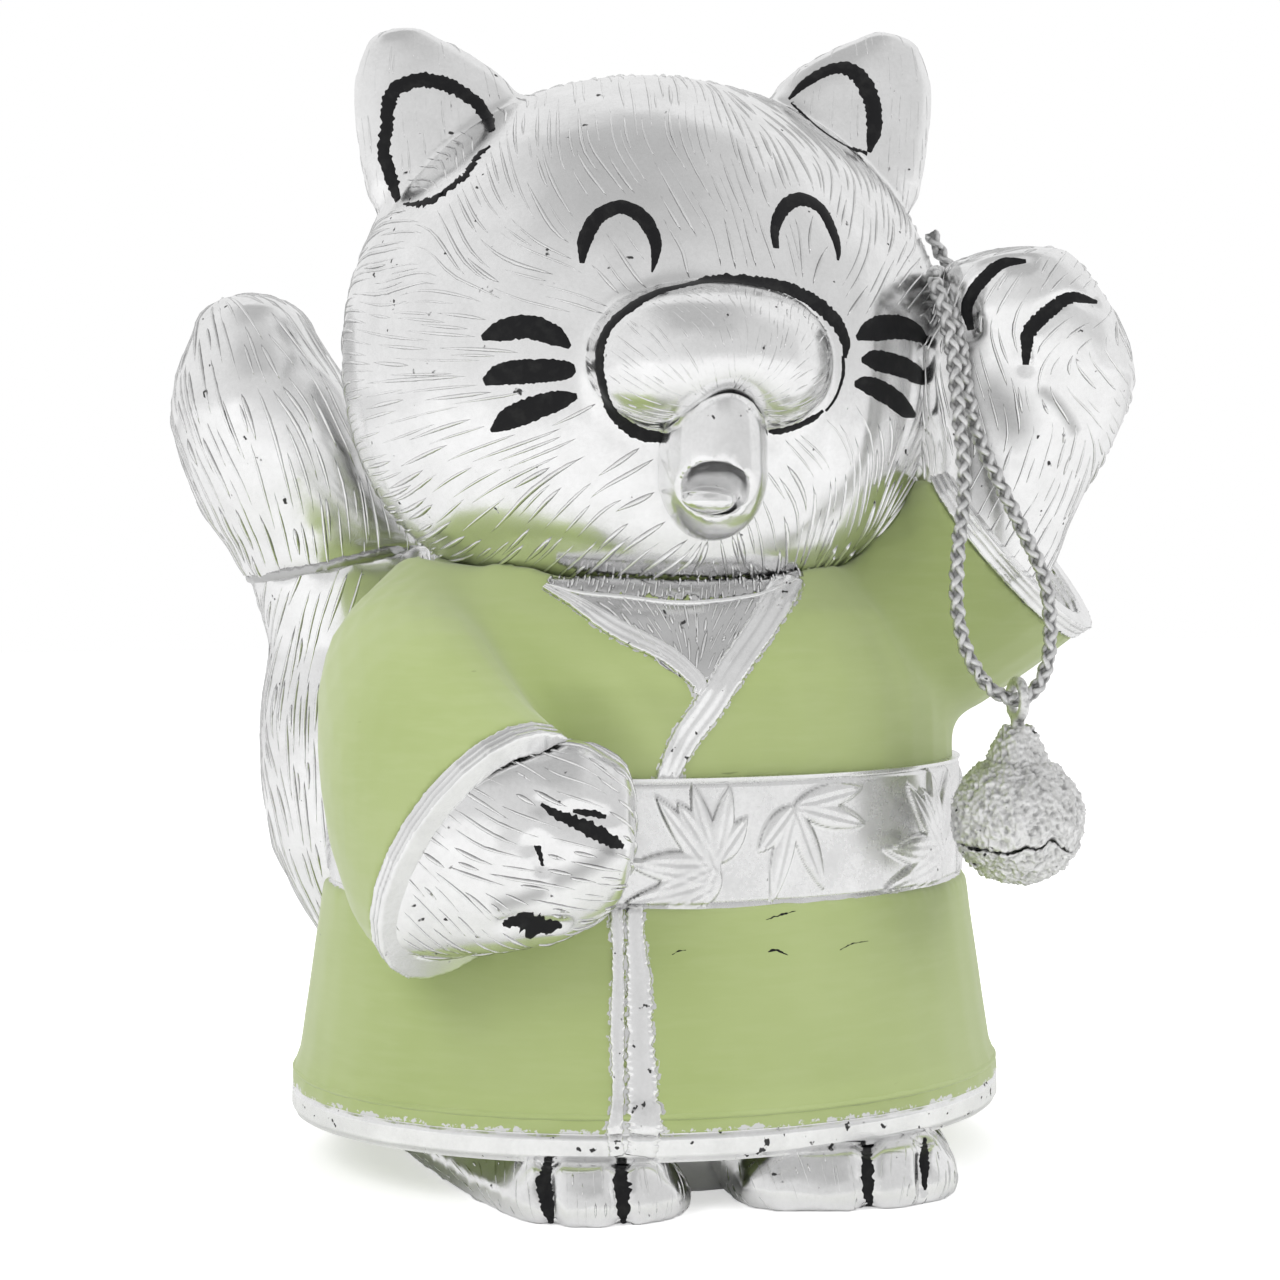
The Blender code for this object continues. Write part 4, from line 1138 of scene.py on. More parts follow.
    def build(self) -> None:
        """Builds the head's pieces in order."""
        silver = self.finishes.silver
        seat = Surface(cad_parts["head"])
        skull = copied("head", "head_cast")
        recast(skull, 1.4, 12, 1)
        ripple(skull, 0.10, 7.0)
        muzzle = self.muzzle(seat)
        near_muzzle = Surface(muzzle).tree
        ears = [self.part(name, 0.8, seat) for name in ("ear_right", "ear_left")]
        near_ears = Surface(*ears).tree
        skull, _ = fused("head_cast", self.seam_rounds, skull, muzzle, *ears)
        presented(skull, silver, "head", "muzzle", "ear_right", "ear_left")
        jaw = self.part("lower_jaw", 0.5, seat)
        rows = places(jaw)
        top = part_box("lower_jaw")[1].z
        raised = smoothly(rows[:, 2], top - 5.0 * MM, top)
        rows[:, 0] *= 1.0 + self.jaw_widening * raised
        rows[:, 2] += self.jaw_rise * MM * raised * np.exp(-((rows[:, 0] / (5.5 * MM)) ** 2))
        rows[:, 1] -= self.jaw_forward * MM * raised
        moved(jaw, rows)
        presented(jaw, silver, "lower_jaw")
        tongue = copied("tongue", "tongue_cast")
        recast(tongue, 0.35, 5, 1)
        presented(tongue, silver, "tongue")
        made = [band.build(Surface(skull), self.line_swell) for band in (*self.face_lines, *self.ear_lines)]
        enamel = [obj for obj in made if obj is not None]
        for obj in enamel:
            presented(obj, self.finishes.enamel)
        self.coats(skull, near_muzzle, near_ears, jaw, enamel)

    def part(self, name: str, cage: float, seat: Surface) -> Piece:
        """An ear or the jaw, rooted in the head."""
        obj = copied(name, f"{name}_cast")
        recast(obj, cage, 7, 1)
        ripple(obj, 0.06, 4.0)
        rooted(obj, seat)
        return obj

    def muzzle(self, seat: Surface) -> Piece:
        """The muzzle: fuller at its corners, and notched below the nose."""
        obj = copied("muzzle", "muzzle_cast")
        recast(obj, 0.9, 10, 1)
        rooted(obj, seat)
        low, high = (np.array(corner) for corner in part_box("muzzle"))
        middle, half = (low + high) * 0.5, (high - low) * 0.5
        rows = places(obj)
        x, z = (rows[:, 0] - middle[0]) / half[0], (rows[:, 2] - middle[2]) / half[2]
        power = self.muzzle_power
        square = (np.abs(x) ** power + np.abs(z) ** power + 1e-12) ** (1.0 / power)
        full = np.clip(0.985 + (np.hypot(x, z) / square - 1.0) * self.muzzle_corners, 0.98, 1.06)
        rows[:, 0] = middle[0] + (rows[:, 0] - middle[0]) * full
        rows[:, 2] = middle[2] + (rows[:, 2] - middle[2]) * full
        beside = (rows[:, 0] - 0.4 * MM) / (self.notch_width * MM)
        notch = np.exp(-(beside**2)) * smoothly(z, 0.1, -0.95)
        rows[:, 2] += self.notch_rise * MM * notch
        rows[:, 1] += self.notch_depth * MM * notch
        moved(obj, rows)
        relax(obj, 6)
        return obj

    def coats(
        self,
        cast: Piece,
        muzzle: BVHTree,
        ears: BVHTree,
        jaw: Piece,
        enamel: list[Piece],
    ) -> None:
        """Draws the fur of the head, the muzzle and the ears, each where its own shape shows."""
        centre = Vector(self.centre) * MM
        back = behind(cast, lambda place: (place - centre).normalized() - Vector((0.0, 0.0, 0.5)), 400)
        free = clear_of(self.fur_gap, *enamel, jaw)

        def over(tree: BVHTree, reach: float) -> Callable[[Vector], bool]:
            return lambda place: tree.find_nearest(place, reach * MM)[0] is not None and free(place)

        nose = Surface(cast).seen(*self.nose)[0]
        rows = [Vector(row) for row in places(cast)[::150]]
        radial = Growth([(row, row - nose) for row in rows if muzzle.find_nearest(row, 2.0 * MM)[0]], 0.1)
        rising = Growth([(row, Vector((0.0, 0.0, 1.0))) for row in rows], 0.2)
        on_muzzle, on_ear = over(muzzle, 0.5), over(ears, 0.5)
        for name, coat, growth, allowed, boost in (
            (
                "head_fur",
                Coat(0.82, 15.0, 0.46, 0.24, 1, shortest=0.32),
                Growth.combed(Surface(cast), self.combs, back),
                lambda place: free(place) and not on_muzzle(place) and not on_ear(place),
                lambda place: 1.0 + 0.45 * float(smoothly(place.z / MM, 84.0, 70.0)),
            ),
            ("muzzle_fur", Coat(0.6, 5.5, 0.28, 0.13, 2, 0.25, 0.25, 5), radial, on_muzzle, lambda place: 1.0),
            ("ear_fur", Coat(1.4, 6.0, 0.26, 0.1, 4, segments=5), rising, on_ear, lambda place: 1.0),
        ):
            hair = coat.grow(name, cast, growth, allowed, boost)
            presented(hair, self.finishes.fur)


@dataclass(frozen=True)
class Limb:
    """A paw, a foot or a part of the tail: its grid, its coat, its combed strokes, its toe lines and its lines of
    painted shade.
    """

    node: str
    cage: float
    coat: Coat
    drift: tuple[float, float, float]
    combs: tuple[Line, ...]
    toes: tuple[Band, ...] = ()
    toe_depth: float = 0.0
    # Lines in pixels with half widths in millimetres, along which painted shade darkens the casting in its recesses
    # and crevices.
    painted_shades: tuple[tuple[Line, float], ...] = ()


@dataclass
class Limbs:
    """Paws, feet and tail, with what each is pushed by in millimetres to meet its neighbour."""

    finishes: Finishes
    line_swell: float = 1.12
    fur_gap: float = 0.35
    foot_rise: float = 0.5
    foot_stretch: float = 5.5
    lowered_push: tuple[float, float] = (3.5, 1.6)
    raised_push: tuple[float, float, float] = (4.6, 2.6, 3.0)
    tail_push: float = 1.25
    tail_lean: float = 2.6
    limbs: tuple[Limb, ...] = (
        Limb(
            "lowered_paw",
            0.8,
            Coat(0.85, 9.0, 0.5, 0.26, 11),
            (1.0, 0.0, -0.5),
            (
                "487,791 523,807",
                "480,807 505,824 535,832",
                "530,772 559,791 594,799",
                "455,831 471,843",
                "444,856 480,874 516,881",
                "541,888 585,895",
                "425,879 455,913 480,938 512,957",
                "480,895 516,925 541,943",
                "582,754 612,774 634,795",
            ),
            (
                Band("toe_line_lowered_long", "541,804,4 560,816,11 594,831,16 612,841,14 623,847,6", ragged=0.3),
                Band("toe_line_lowered_short", "573,811,4 591,813,8 606,817,4", ragged=0.3),
                Band("toe_line_lowered_blotch", "503,925,4 519,920,20 534,924,28 552,926,18 562,926,4", ragged=0.5),
                Band("toe_speck_lowered_one", "534,846,2 539,850,6 543,866,3", ragged=0.5),
            ),
            0.5,
            (("610,852 590,866 560,880", 1.2), ("540,893 520,900 500,905", 1.0)),
        ),
        Limb(
            "raised_paw",
            0.9,
            Coat(1.1, 9.0, 0.42, 0.2, 12),
            (0.0, 0.0, 1.0),
            (
                "982,353 980,316 1008,275",
                "1016,361 1003,322 1029,277",
                "1048,353 1066,329 1098,309",
                "1113,403 1077,366",
                "1092,492 1111,445 1098,424",
                "1035,539 1061,492 1077,447",
                "1061,544 1087,518 1113,466",
            ),
            (
                Band("toe_line_raised_near", "1026,261,4 1003,264,13 982,282,15 968,306,15 971,330,7"),
                Band("toe_line_raised_far", "1097,302,4 1071,298,14 1048,311,18 1029,332,18 1026,365,7"),
            ),
            0.7,
            (
                ("992,390 1005,408 1012,425", 3.0),
                ("1044,392 1060,406 1075,430", 0.8),
                ("966,340 966,380 972,430 985,500", 2.6),
            ),
        ),
        Limb(
            "foot_right",
            0.7,
            Coat(0.95, 6.0, 0.28, 0.12, 13),
            (-0.4, 0.0, -1.0),
            ("428,1152 472,1188", "500,1165 505,1215", "585,1165 588,1215", "650,1165 655,1212"),
            (
                Band("toe_line_right_one", "548,1160,6 546,1185,22 549,1206,18 551,1224,5", ragged=0.3),
                Band("toe_line_right_two", "622,1160,6 620,1185,23 622,1206,18 624,1224,5", ragged=0.3),
            ),
            0.9,
        ),
        Limb(
            "foot_left",
            0.7,
            Coat(0.95, 6.0, 0.28, 0.12, 14),
            (0.3, 0.0, -1.0),
            ("754,1156 766,1192", "800,1158 815,1205", "840,1150 845,1200", "900,1150 895,1200"),
            (
                Band("toe_line_left_one", "868,1138,4 866,1163,14 868,1188,14 869,1212,4", ragged=0.3),
                Band("toe_line_left_two", "925,1138,3 924,1160,11 925,1190,3", ragged=0.3),
            ),
            0.9,
        ),
        Limb(
            "tail_lower",
            1.2,
            Coat(1.0, 15.0, 0.55, 0.26, 15),
            (0.0, 0.0, -1.0),
            ("300,575 275,640 262,740 285,850", "330,580 310,640 300,720 305,800"),
        ),
        Limb(
            "tail_upper",
            1.2,
            Coat(1.0, 15.0, 0.6, 0.28, 16),
            (0.3, 0.0, -1.0),
            (
                "261,308 312,373 357,471 370,540",
                "281,390 306,426 324,482 330,560",
                "230,330 255,400 275,480 290,560",
                "195,370 215,440 245,500 268,560",
            ),
        ),
    )

    def build(self) -> None:
        """Casts the limbs, lays their toe lines and draws their fur."""
        for limb in self.limbs:
            obj = copied(limb.node, f"{limb.node}_cast")
            recast(obj, limb.cage, 8, 1)
            self.fitted(obj, limb.node)
            ripple(obj, 0.12, 4.0)
            for toe in limb.toes:
                folded(obj, toe.points, 1.0, -limb.toe_depth)
            if limb.painted_shades:
                # Painted shade along the paws' recesses and crevices.
                marked(obj, "groove", np.max([near_line(obj, points, wide) for points, wide in limb.painted_shades], axis=0))
            presented(obj, self.finishes.silver, limb.node)
            surface = Surface(obj)
            lines = [line for line in (band.build(surface, self.line_swell) for band in limb.toes) if line is not None]
            for line in lines:
                presented(line, self.finishes.enamel)
            drift = Vector(limb.drift)
            growth = Growth.combed(surface, limb.combs, behind(obj, lambda place: drift, 60))
            fur = limb.coat.grow(f"{limb.node}_fur", obj, growth, clear_of(self.fur_gap, *lines))
            presented(fur, self.finishes.fur)

    def fitted(self, obj: Piece, node: str) -> None:
        """Closes the gap between a limb and the cuff, the ring or the hem next to it."""
        rows = places(obj) / MM
        x, y, z = rows.T.copy()
        if node.startswith("foot"):
            rows[:, 2] += self.foot_rise * smoothly(z, z.max() - 1.5, z.max())
            if node == "foot_left":
                rows[:, 0] -= self.foot_stretch * smoothly(x, 17.0, 7.5)
                rows[:, 2] += 0.4 * smoothly(x, 14.0, 7.5) * smoothly(z, 0.5, 1.5)
            moved(obj, rows * MM)
            return
        ring = {"lowered_paw": "lowered_cuff", "raised_paw": "raised_cuff"}.get(node, "tail_ring")
        collar = places(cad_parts[ring]) / MM
        middle = collar.mean(axis=0)
        one, two, axis = np.linalg.svd(collar - middle, full_matrices=False)[2]
        one, two, axis = one * -np.sign(one[2]), two * np.sign(two[0] + two[1]), axis * np.sign(axis[2])
        low, wide, out = (rows - middle) @ one, (rows - middle) @ two, (rows - middle) @ axis
        if node == "lowered_paw":
            near = smoothly(out, -5.0, 0.5)
            inward, down = self.lowered_push
            rows -= two * (inward * smoothly(wide, 4.0, -4.0) * near)[:, None]
            rows += one * (down * smoothly(low, 0.0, 9.0) * near)[:, None]
        elif node == "raised_paw":
            near = smoothly(out, 20.0, -1.0)
            up, inward, to_cheek = self.raised_push
            rows -= one * (up * smoothly(low, 0.0, -7.0) * near)[:, None]
            rows -= two * (inward * smoothly(wide, 2.0, -4.0) * near)[:, None]
            beside = smoothly(x, 42.0, 35.0) * smoothly(y, -23.0, -18.0)
            rows[:, 0] -= to_cheek * beside * smoothly(z, 60.0, 72.0) * smoothly(z, 96.0, 90.0)
        else:
            rows -= axis * (self.tail_push * np.sign(out) * smoothly(np.abs(out), 5.0, 1.0))[:, None]
            rows[:, 0] += self.tail_lean * smoothly(x, -31.0, -25.0) * np.exp(-(((z - 69.0) / 6.0) ** 2))
        moved(obj, rows * MM)


@dataclass
class Kimono:
    """Painted cloth, the fur in its opening, and the silver trims along it."""

    finishes: Finishes
    shoulder_rounds: int = 60
    waist: tuple[float, float] = (47.0, 45.8)
    flare: tuple[float, float] = (12.5, 9.2)
    hem_level: float = 7.2
    ring_grooves: tuple[float, float] = (0.36, 0.66)
    ring_depth: float = 0.16
    collar: tuple[float, ...] = (-0.12, 0.34, 0.42, 0.40, 0.28, 0.36, 0.40, 0.38, 0.27, 0.36, 0.40, 0.32, -0.12)
    strip: tuple[float, ...] = (-0.12, 0.26, 0.34, 0.33, 0.32, 0.24, 0.31, 0.30, -0.12)
    folds: tuple[tuple[Line, float, float], ...] = (
        ("560,640 600,690 650,750", 2.6, 0.35),
        ("590,630 630,680 668,735", 1.8, -0.25),
    )
    scuffs: tuple[Line, ...] = (
        "766,920,1 780,915,3 796,911,1",
        "768,952,1 776,950,4 788,955,1",
        "840,950,1 852,944,2 868,941,1",
        "672,955,1 679,951,2 686,950,1",
    )

    def build(self) -> None:
        """Builds the cloth, its trims and the fur at the chest."""
        upper = self.upper()
        skirt = copied("robe_skirt", "skirt_painted")
        recast(skirt, 1.1, 14, 1)
        rows = places(skirt)
        rows[:, 2] += 0.5 * MM * smoothly(rows[:, 2], 29.8 * MM, 30.8 * MM)
        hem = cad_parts["hem_band"]
        self.flared(rows, Surface(hem))
        moved(skirt, rows)
        trims = [self.hem(Surface(hem)), *self.bands(Surface(upper), Surface(skirt, hem))]
        cages = {"lowered_cuff": 0.22, "raised_cuff": 0.24, "tail_ring": 0.3}
        trims += [self.cuff(name, cage) for name, cage in cages.items()]
        self.piping(Surface(skirt))
        for number, points in enumerate(self.scuffs):
            scuff = Band(f"skirt_scuff_{number}", points, (-0.03, 0.03, -0.03), 0.9, 1.0, 0.1).build(Surface(skirt))
            presented(scuff, self.finishes.enamel)
        edges = Surface(*trims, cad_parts["belt"])
        for cloth, nodes in ((upper, ("robe_upper", "lowered_sleeve", "raised_sleeve")), (skirt, ("robe_skirt",))):
            marked(cloth, "trim_gap", edges.distances(places(cloth), 3.0 * MM) / MM)
            presented(cloth, self.finishes.kimono, *nodes)

    def flared(self, rows: np.ndarray, hem: Surface) -> None:
        """Runs the skirt's lower edge out to the hem band, in place."""
        top, low = self.flare
        for index in np.nonzero(rows[:, 2] < top * MM)[0]:
            out = Vector((rows[index, 0], rows[index, 1], 0.0)).normalized()
            hit = hem.tree.ray_cast(Vector((0.0, 0.0, self.hem_level * MM)) + out * OUTSIDE, -out)
            goal = (math.hypot(hit[0].x, hit[0].y) - 0.05 * MM) if hit[0] is not None else 0.0
            reach = math.hypot(rows[index, 0], rows[index, 1])
            share = float(smoothly(rows[index, 2], top * MM, low * MM) * smoothly(reach, 0.8 * goal, 0.92 * goal))
            rows[index, :2] *= 1.0 + share * max(0.0, goal / max(reach, MM) - 1.0)
            rows[index, 2] -= 0.35 * MM * float(smoothly(rows[index, 2], 9.8 * MM, 9.1 * MM))

    def upper(self) -> Piece:
        """The robe above the belt with both sleeves, blended at the shoulders."""
        nodes = ("robe_upper", "lowered_sleeve", "raised_sleeve", "chest_fur")
        blanks = [copied(name, f"{name}_blank") for name in nodes]
        obj, to_sleeves = fused("robe_painted", self.shoulder_rounds, *blanks)
        rows = places(obj)
        low = smoothly(rows[:, 2] / MM, *self.waist) * smoothly(to_sleeves, 1.0 * MM, 2.0 * MM)
        rows[:, 2] -= 0.6 * MM * low
        moved(obj, rows)
        for points, wide, high in self.folds:
            folded(obj, points, wide, high)
        return obj

    def bands(self, chest: Surface, front: Surface) -> list[Piece]:
        """Collars and front strips, and the fur patch between the collars.

        Args:
            chest: The upper robe.
            front: The skirt and the hem.

        Returns:
            The silver trims.
        """
        made = []
        for node, surface, profile, ragged, points in (
            ("collar_under", chest, self.collar, 0.06, "545,587,8 575,602,16 620,630,23 668,655,22 698,682,18 "
                "697,694,10"),
            ("collar_over", chest, self.collar, 0.05, "790,577,36 784,588,38 757,632,34 732,668,34 711,703,33 "
                "686,738,30 670,770,26 665,790,26"),
            ("placket_strip_under", front, self.strip, 0.16, "616,905,18 618,955,14 618,994,15 617,1034,16 "
                "618,1075,14 617,1112,15 615,1130,18 617,1156,17"),
            ("placket_strip_over", front, self.strip, 0.16, "634,905,20 636,955,22 639,982,27 640,1038,29 "
                "642,1075,33 643,1103,35 645,1125,38 641,1156,33"),
        ):
            band = Band(f"{node}_band", points, profile, ragged)
            made.append(presented(band.build(surface), self.finishes.trim, node))
        # The chest patch between the collars is darkened by painted shade under its strokes.
        patch = "550,592,6 580,598,16 620,610,40 660,624,66 697,638,92 722,628,76 742,616,50 762,604,26 785,594,6"
        self.furred(
            Band("chest_fur_patch", patch, (0.02, *[0.16] * 13, 0.02), 0.0, 2.0, 0.6, 9).build(chest),
            0.7,
            Coat(0.5, 4.5, 0.42, 0.3, 17, 0.25, segments=5),
            ("590,606 640,650", "640,608 668,655", "690,610 695,665", "740,606 705,660"),
            0.25,
            "chest_fur",
        )
        # The neck under the jaw is a patch of painted shade and painted reflection of the dark crevice there.
        neck = "550,582,16 600,584,26 680,588,28 750,584,26 800,572,12"
        self.furred(
            Band("neck_fur_patch", neck, (0.0, 0.2, 0.3, 0.3, 0.2, 0.0), 0.3, 2.0, 0.6).build(chest),
            0.9,
            Coat(0.5, 2.6, 0.4, 0.35, 18, 0.2, 0.25, 5),
            ("590,577 586,592", "680,580 680,596", "760,576 764,590"),
            0.5,
        )
        rim = "550,587,4 580,594,7 622,598,8 684,604,8 753,597,7 795,581,5"
        rim_band = Band("neck_rim", rim, (-0.05, 0.4, 0.55, 0.4, -0.05), 0.1, 1.6, 0.5)
        presented(rim_band.build(chest), self.finishes.plain_trim)
        return made

    def furred(
        self, patch: Piece, dark: float, coat: Coat, combs: tuple[Line, ...], sway: float, *nodes: str
    ) -> None:
        """Covers a patch, darkened by painted shade, with strokes.

        Args:
            patch: What they lie on.
            dark: How far painted shade darkens it between them.
            coat: Their size.
            combs: Their direction.
            sway: How far they stray from it.
            nodes: The solids that the patch stands for.
        """
        marked(patch, "groove", np.full(len(patch.data.vertices), dark))
        presented(patch, self.finishes.silver, *nodes)
        name = patch.name.replace("patch", "strokes")
        hair = coat.grow(name, patch, Growth.combed(Surface(patch), combs, sway=sway))
        presented(hair, self.finishes.fur)

    def hem(self, surface: Surface) -> Piece:
        """The hem band: a bright lip below, a flat face and an edge above."""

        def height(angle: np.ndarray, level: np.ndarray) -> np.ndarray:
            lip = 0.14 * np.exp(-(((level - 5.95) / 0.28) ** 2))
            edge = 0.14 * np.exp(-(((level - 8.85) / 0.22) ** 2))
            wave = 0.05 * np.sin(angle * 23.0) * np.sin(angle * 7.0 + 1.0)
            return 0.06 + lip + edge + wave

        obj = Wrap("hem_trim", 5.55, 9.15, 26, 420, 1.4, 5).build(surface, height, (5.9, 8.5))
        rows = places(obj)
        marked(obj, "rim_gap", 9.1 - rows[:, 2] / MM)
        presented(obj, self.finishes.trim, "hem_band")
        return obj

    def piping(self, surface: Surface) -> None:
        """The fine raised line in the paint above the hem."""
        ridge = Wrap("hem_piping", 9.95, 10.65, 9, 420, 0.6, 5)
        obj = ridge.build(
            surface, lambda angle, level: 0.30 * np.sin(np.pi * (level - 9.95) / 0.7) - 0.08, (10.0, 10.6)
        )
        marked(obj, "trim_gap", np.full(len(obj.data.vertices), 3.0))
        presented(obj, self.finishes.kimono)

    def cuff(self, name: str, cage: float) -> Piece:
        """A ring, with two fine grooves round a cuff."""
        obj = copied(name, f"{name}_trim")
        recast(obj, cage, 4, 0)
        rows, outward = places(obj), normals(obj)
        middle = rows.mean(axis=0)
        axis = np.linalg.svd(rows - middle, full_matrices=False)[2][2]
        along = (rows - middle) @ axis
        low, high = along.min(), along.max()
        wall = 1.0 - np.abs(outward @ axis)
        depth = sum(np.exp(-(((along - low - stop * (high - low)) / (0.2 * MM)) ** 2)) for stop in self.ring_grooves)
        if name != "tail_ring":
            moved(obj, rows - outward * (self.ring_depth * MM * depth * wall)[:, None])
            # Painted shade in the two ring grooves.
            marked(obj, "groove", depth * wall * 0.6)
        else:
            # The whole tail ring is darkened by the painted shade's grey.
            marked(obj, "groove", np.ones(len(rows)))
        presented(obj, self.finishes.plain_trim, name)
        return obj


@dataclass
class Belt:
    """Broad belt with embossed maple leaves, and its bow at the back."""

    finishes: Finishes
    relief: float = 0.55
    repeats: int = 6
    radius: float = 31.5
    leaves: tuple[tuple[tuple[float, float], float, Line], ...] = (
        ((717, 864), 1.5, "677,802 731,785 632,864 645,899 704,909 749,817"),
        ((795, 806), 1.5, "866,787 869,825 826,892 772,907 759,854"),
        ((946, 859), 1.4, "908,782 931,766 885,849 886,889 911,900"),
    )

    def build(self) -> None:
        """Builds the belt, then the bow."""
        low, high = (corner.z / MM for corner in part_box("belt"))
        surface = Surface(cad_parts["belt"])
        lobes = list(self.lobes(surface))

        def relief(angle: np.ndarray, level: np.ndarray) -> np.ndarray:
            best = np.zeros(angle.shape)
            for turn, base, tip, half in lobes:
                best = np.maximum(best, self.lobe(angle - turn, level, base, tip, half))
            return best

        def height(angle: np.ndarray, level: np.ndarray) -> np.ndarray:
            edge = smoothly(level, low, low + 0.3) * smoothly(level, high, high - 0.3)
            return (relief(angle, level) - 0.75) * self.relief * edge - 0.05

        obj = Wrap("belt_embossed", low - 0.32, high + 0.32, 66, 1240, 1.3, 12).build(
            surface, height, (low + 0.2, high - 0.2)
        )
        x, y, z = places(obj).T / MM
        best = relief(np.arctan2(y, x), z)
        # Painted shade as thin dark lines along the edges of the leaves' lobes.
        marked(obj, "groove", np.exp(-(((best - 0.3) / 0.22) ** 2)) * (best > 0.02))
        presented(obj, self.finishes.belt, "belt")
        for name in ("belt_knot", "bow_loop_left", "bow_loop_right"):
            bow = copied(name, f"{name}_cast")
            recast(bow, 0.7, 6, 1)
            ripple(bow, 0.15, 3.0)
            presented(bow, self.finishes.belt, name)

    def lobes(
        self, surface: Surface
    ) -> Iterable[tuple[float, tuple[float, float], tuple[float, float], float]]:
        """Every lobe: its repeat's turn, its base and tip as angle and level, and its half width."""

        def on_belt(x: float, y: float) -> tuple[float, float]:
            place = surface.seen(x, 840.0)[0]
            return math.atan2(place.y, place.x), (PHOTO.place.z + (PHOTO.axis_y - y) * PHOTO.scale(place)) / MM

        for base, half, tips in self.leaves:
            for tip in numbers(tips):
                for repeat in range(self.repeats):
                    yield 2.0 * math.pi * repeat / self.repeats, on_belt(*base), on_belt(*tip), half

    def lobe(
        self, angle: np.ndarray, level: np.ndarray, base: tuple[float, float], tip: tuple[float, float], half: float
    ) -> np.ndarray:
        """Height of one pointed lobe with its vein, 0 outside it."""
        turn = (angle - base[0] + math.pi) % (2.0 * math.pi) - math.pi
        reach = (tip[0] - base[0]) * self.radius, tip[1] - base[1]
        length = math.hypot(*reach)
        along = (turn * self.radius * reach[0] + (level - base[1]) * reach[1]) / length**2
        across = np.abs(turn * self.radius * reach[1] - (level - base[1]) * reach[0]) / length
        share = np.clip(along, 0.0, 1.0)
        wide = half * np.sin(np.pi * share**0.85) ** 0.75 + 1e-6
        inside = smoothly(wide - across, 0.0, 0.34)
        crown = 0.55 + 0.45 * (1.0 - np.clip(across / wide, 0.0, 1.0) ** 2) - 0.3 * np.exp(-((across / 0.24) ** 2))
        return np.where((along > 0.0) & (along < 1.0) & (np.abs(turn) < 0.9), crown * inside, 0.0)


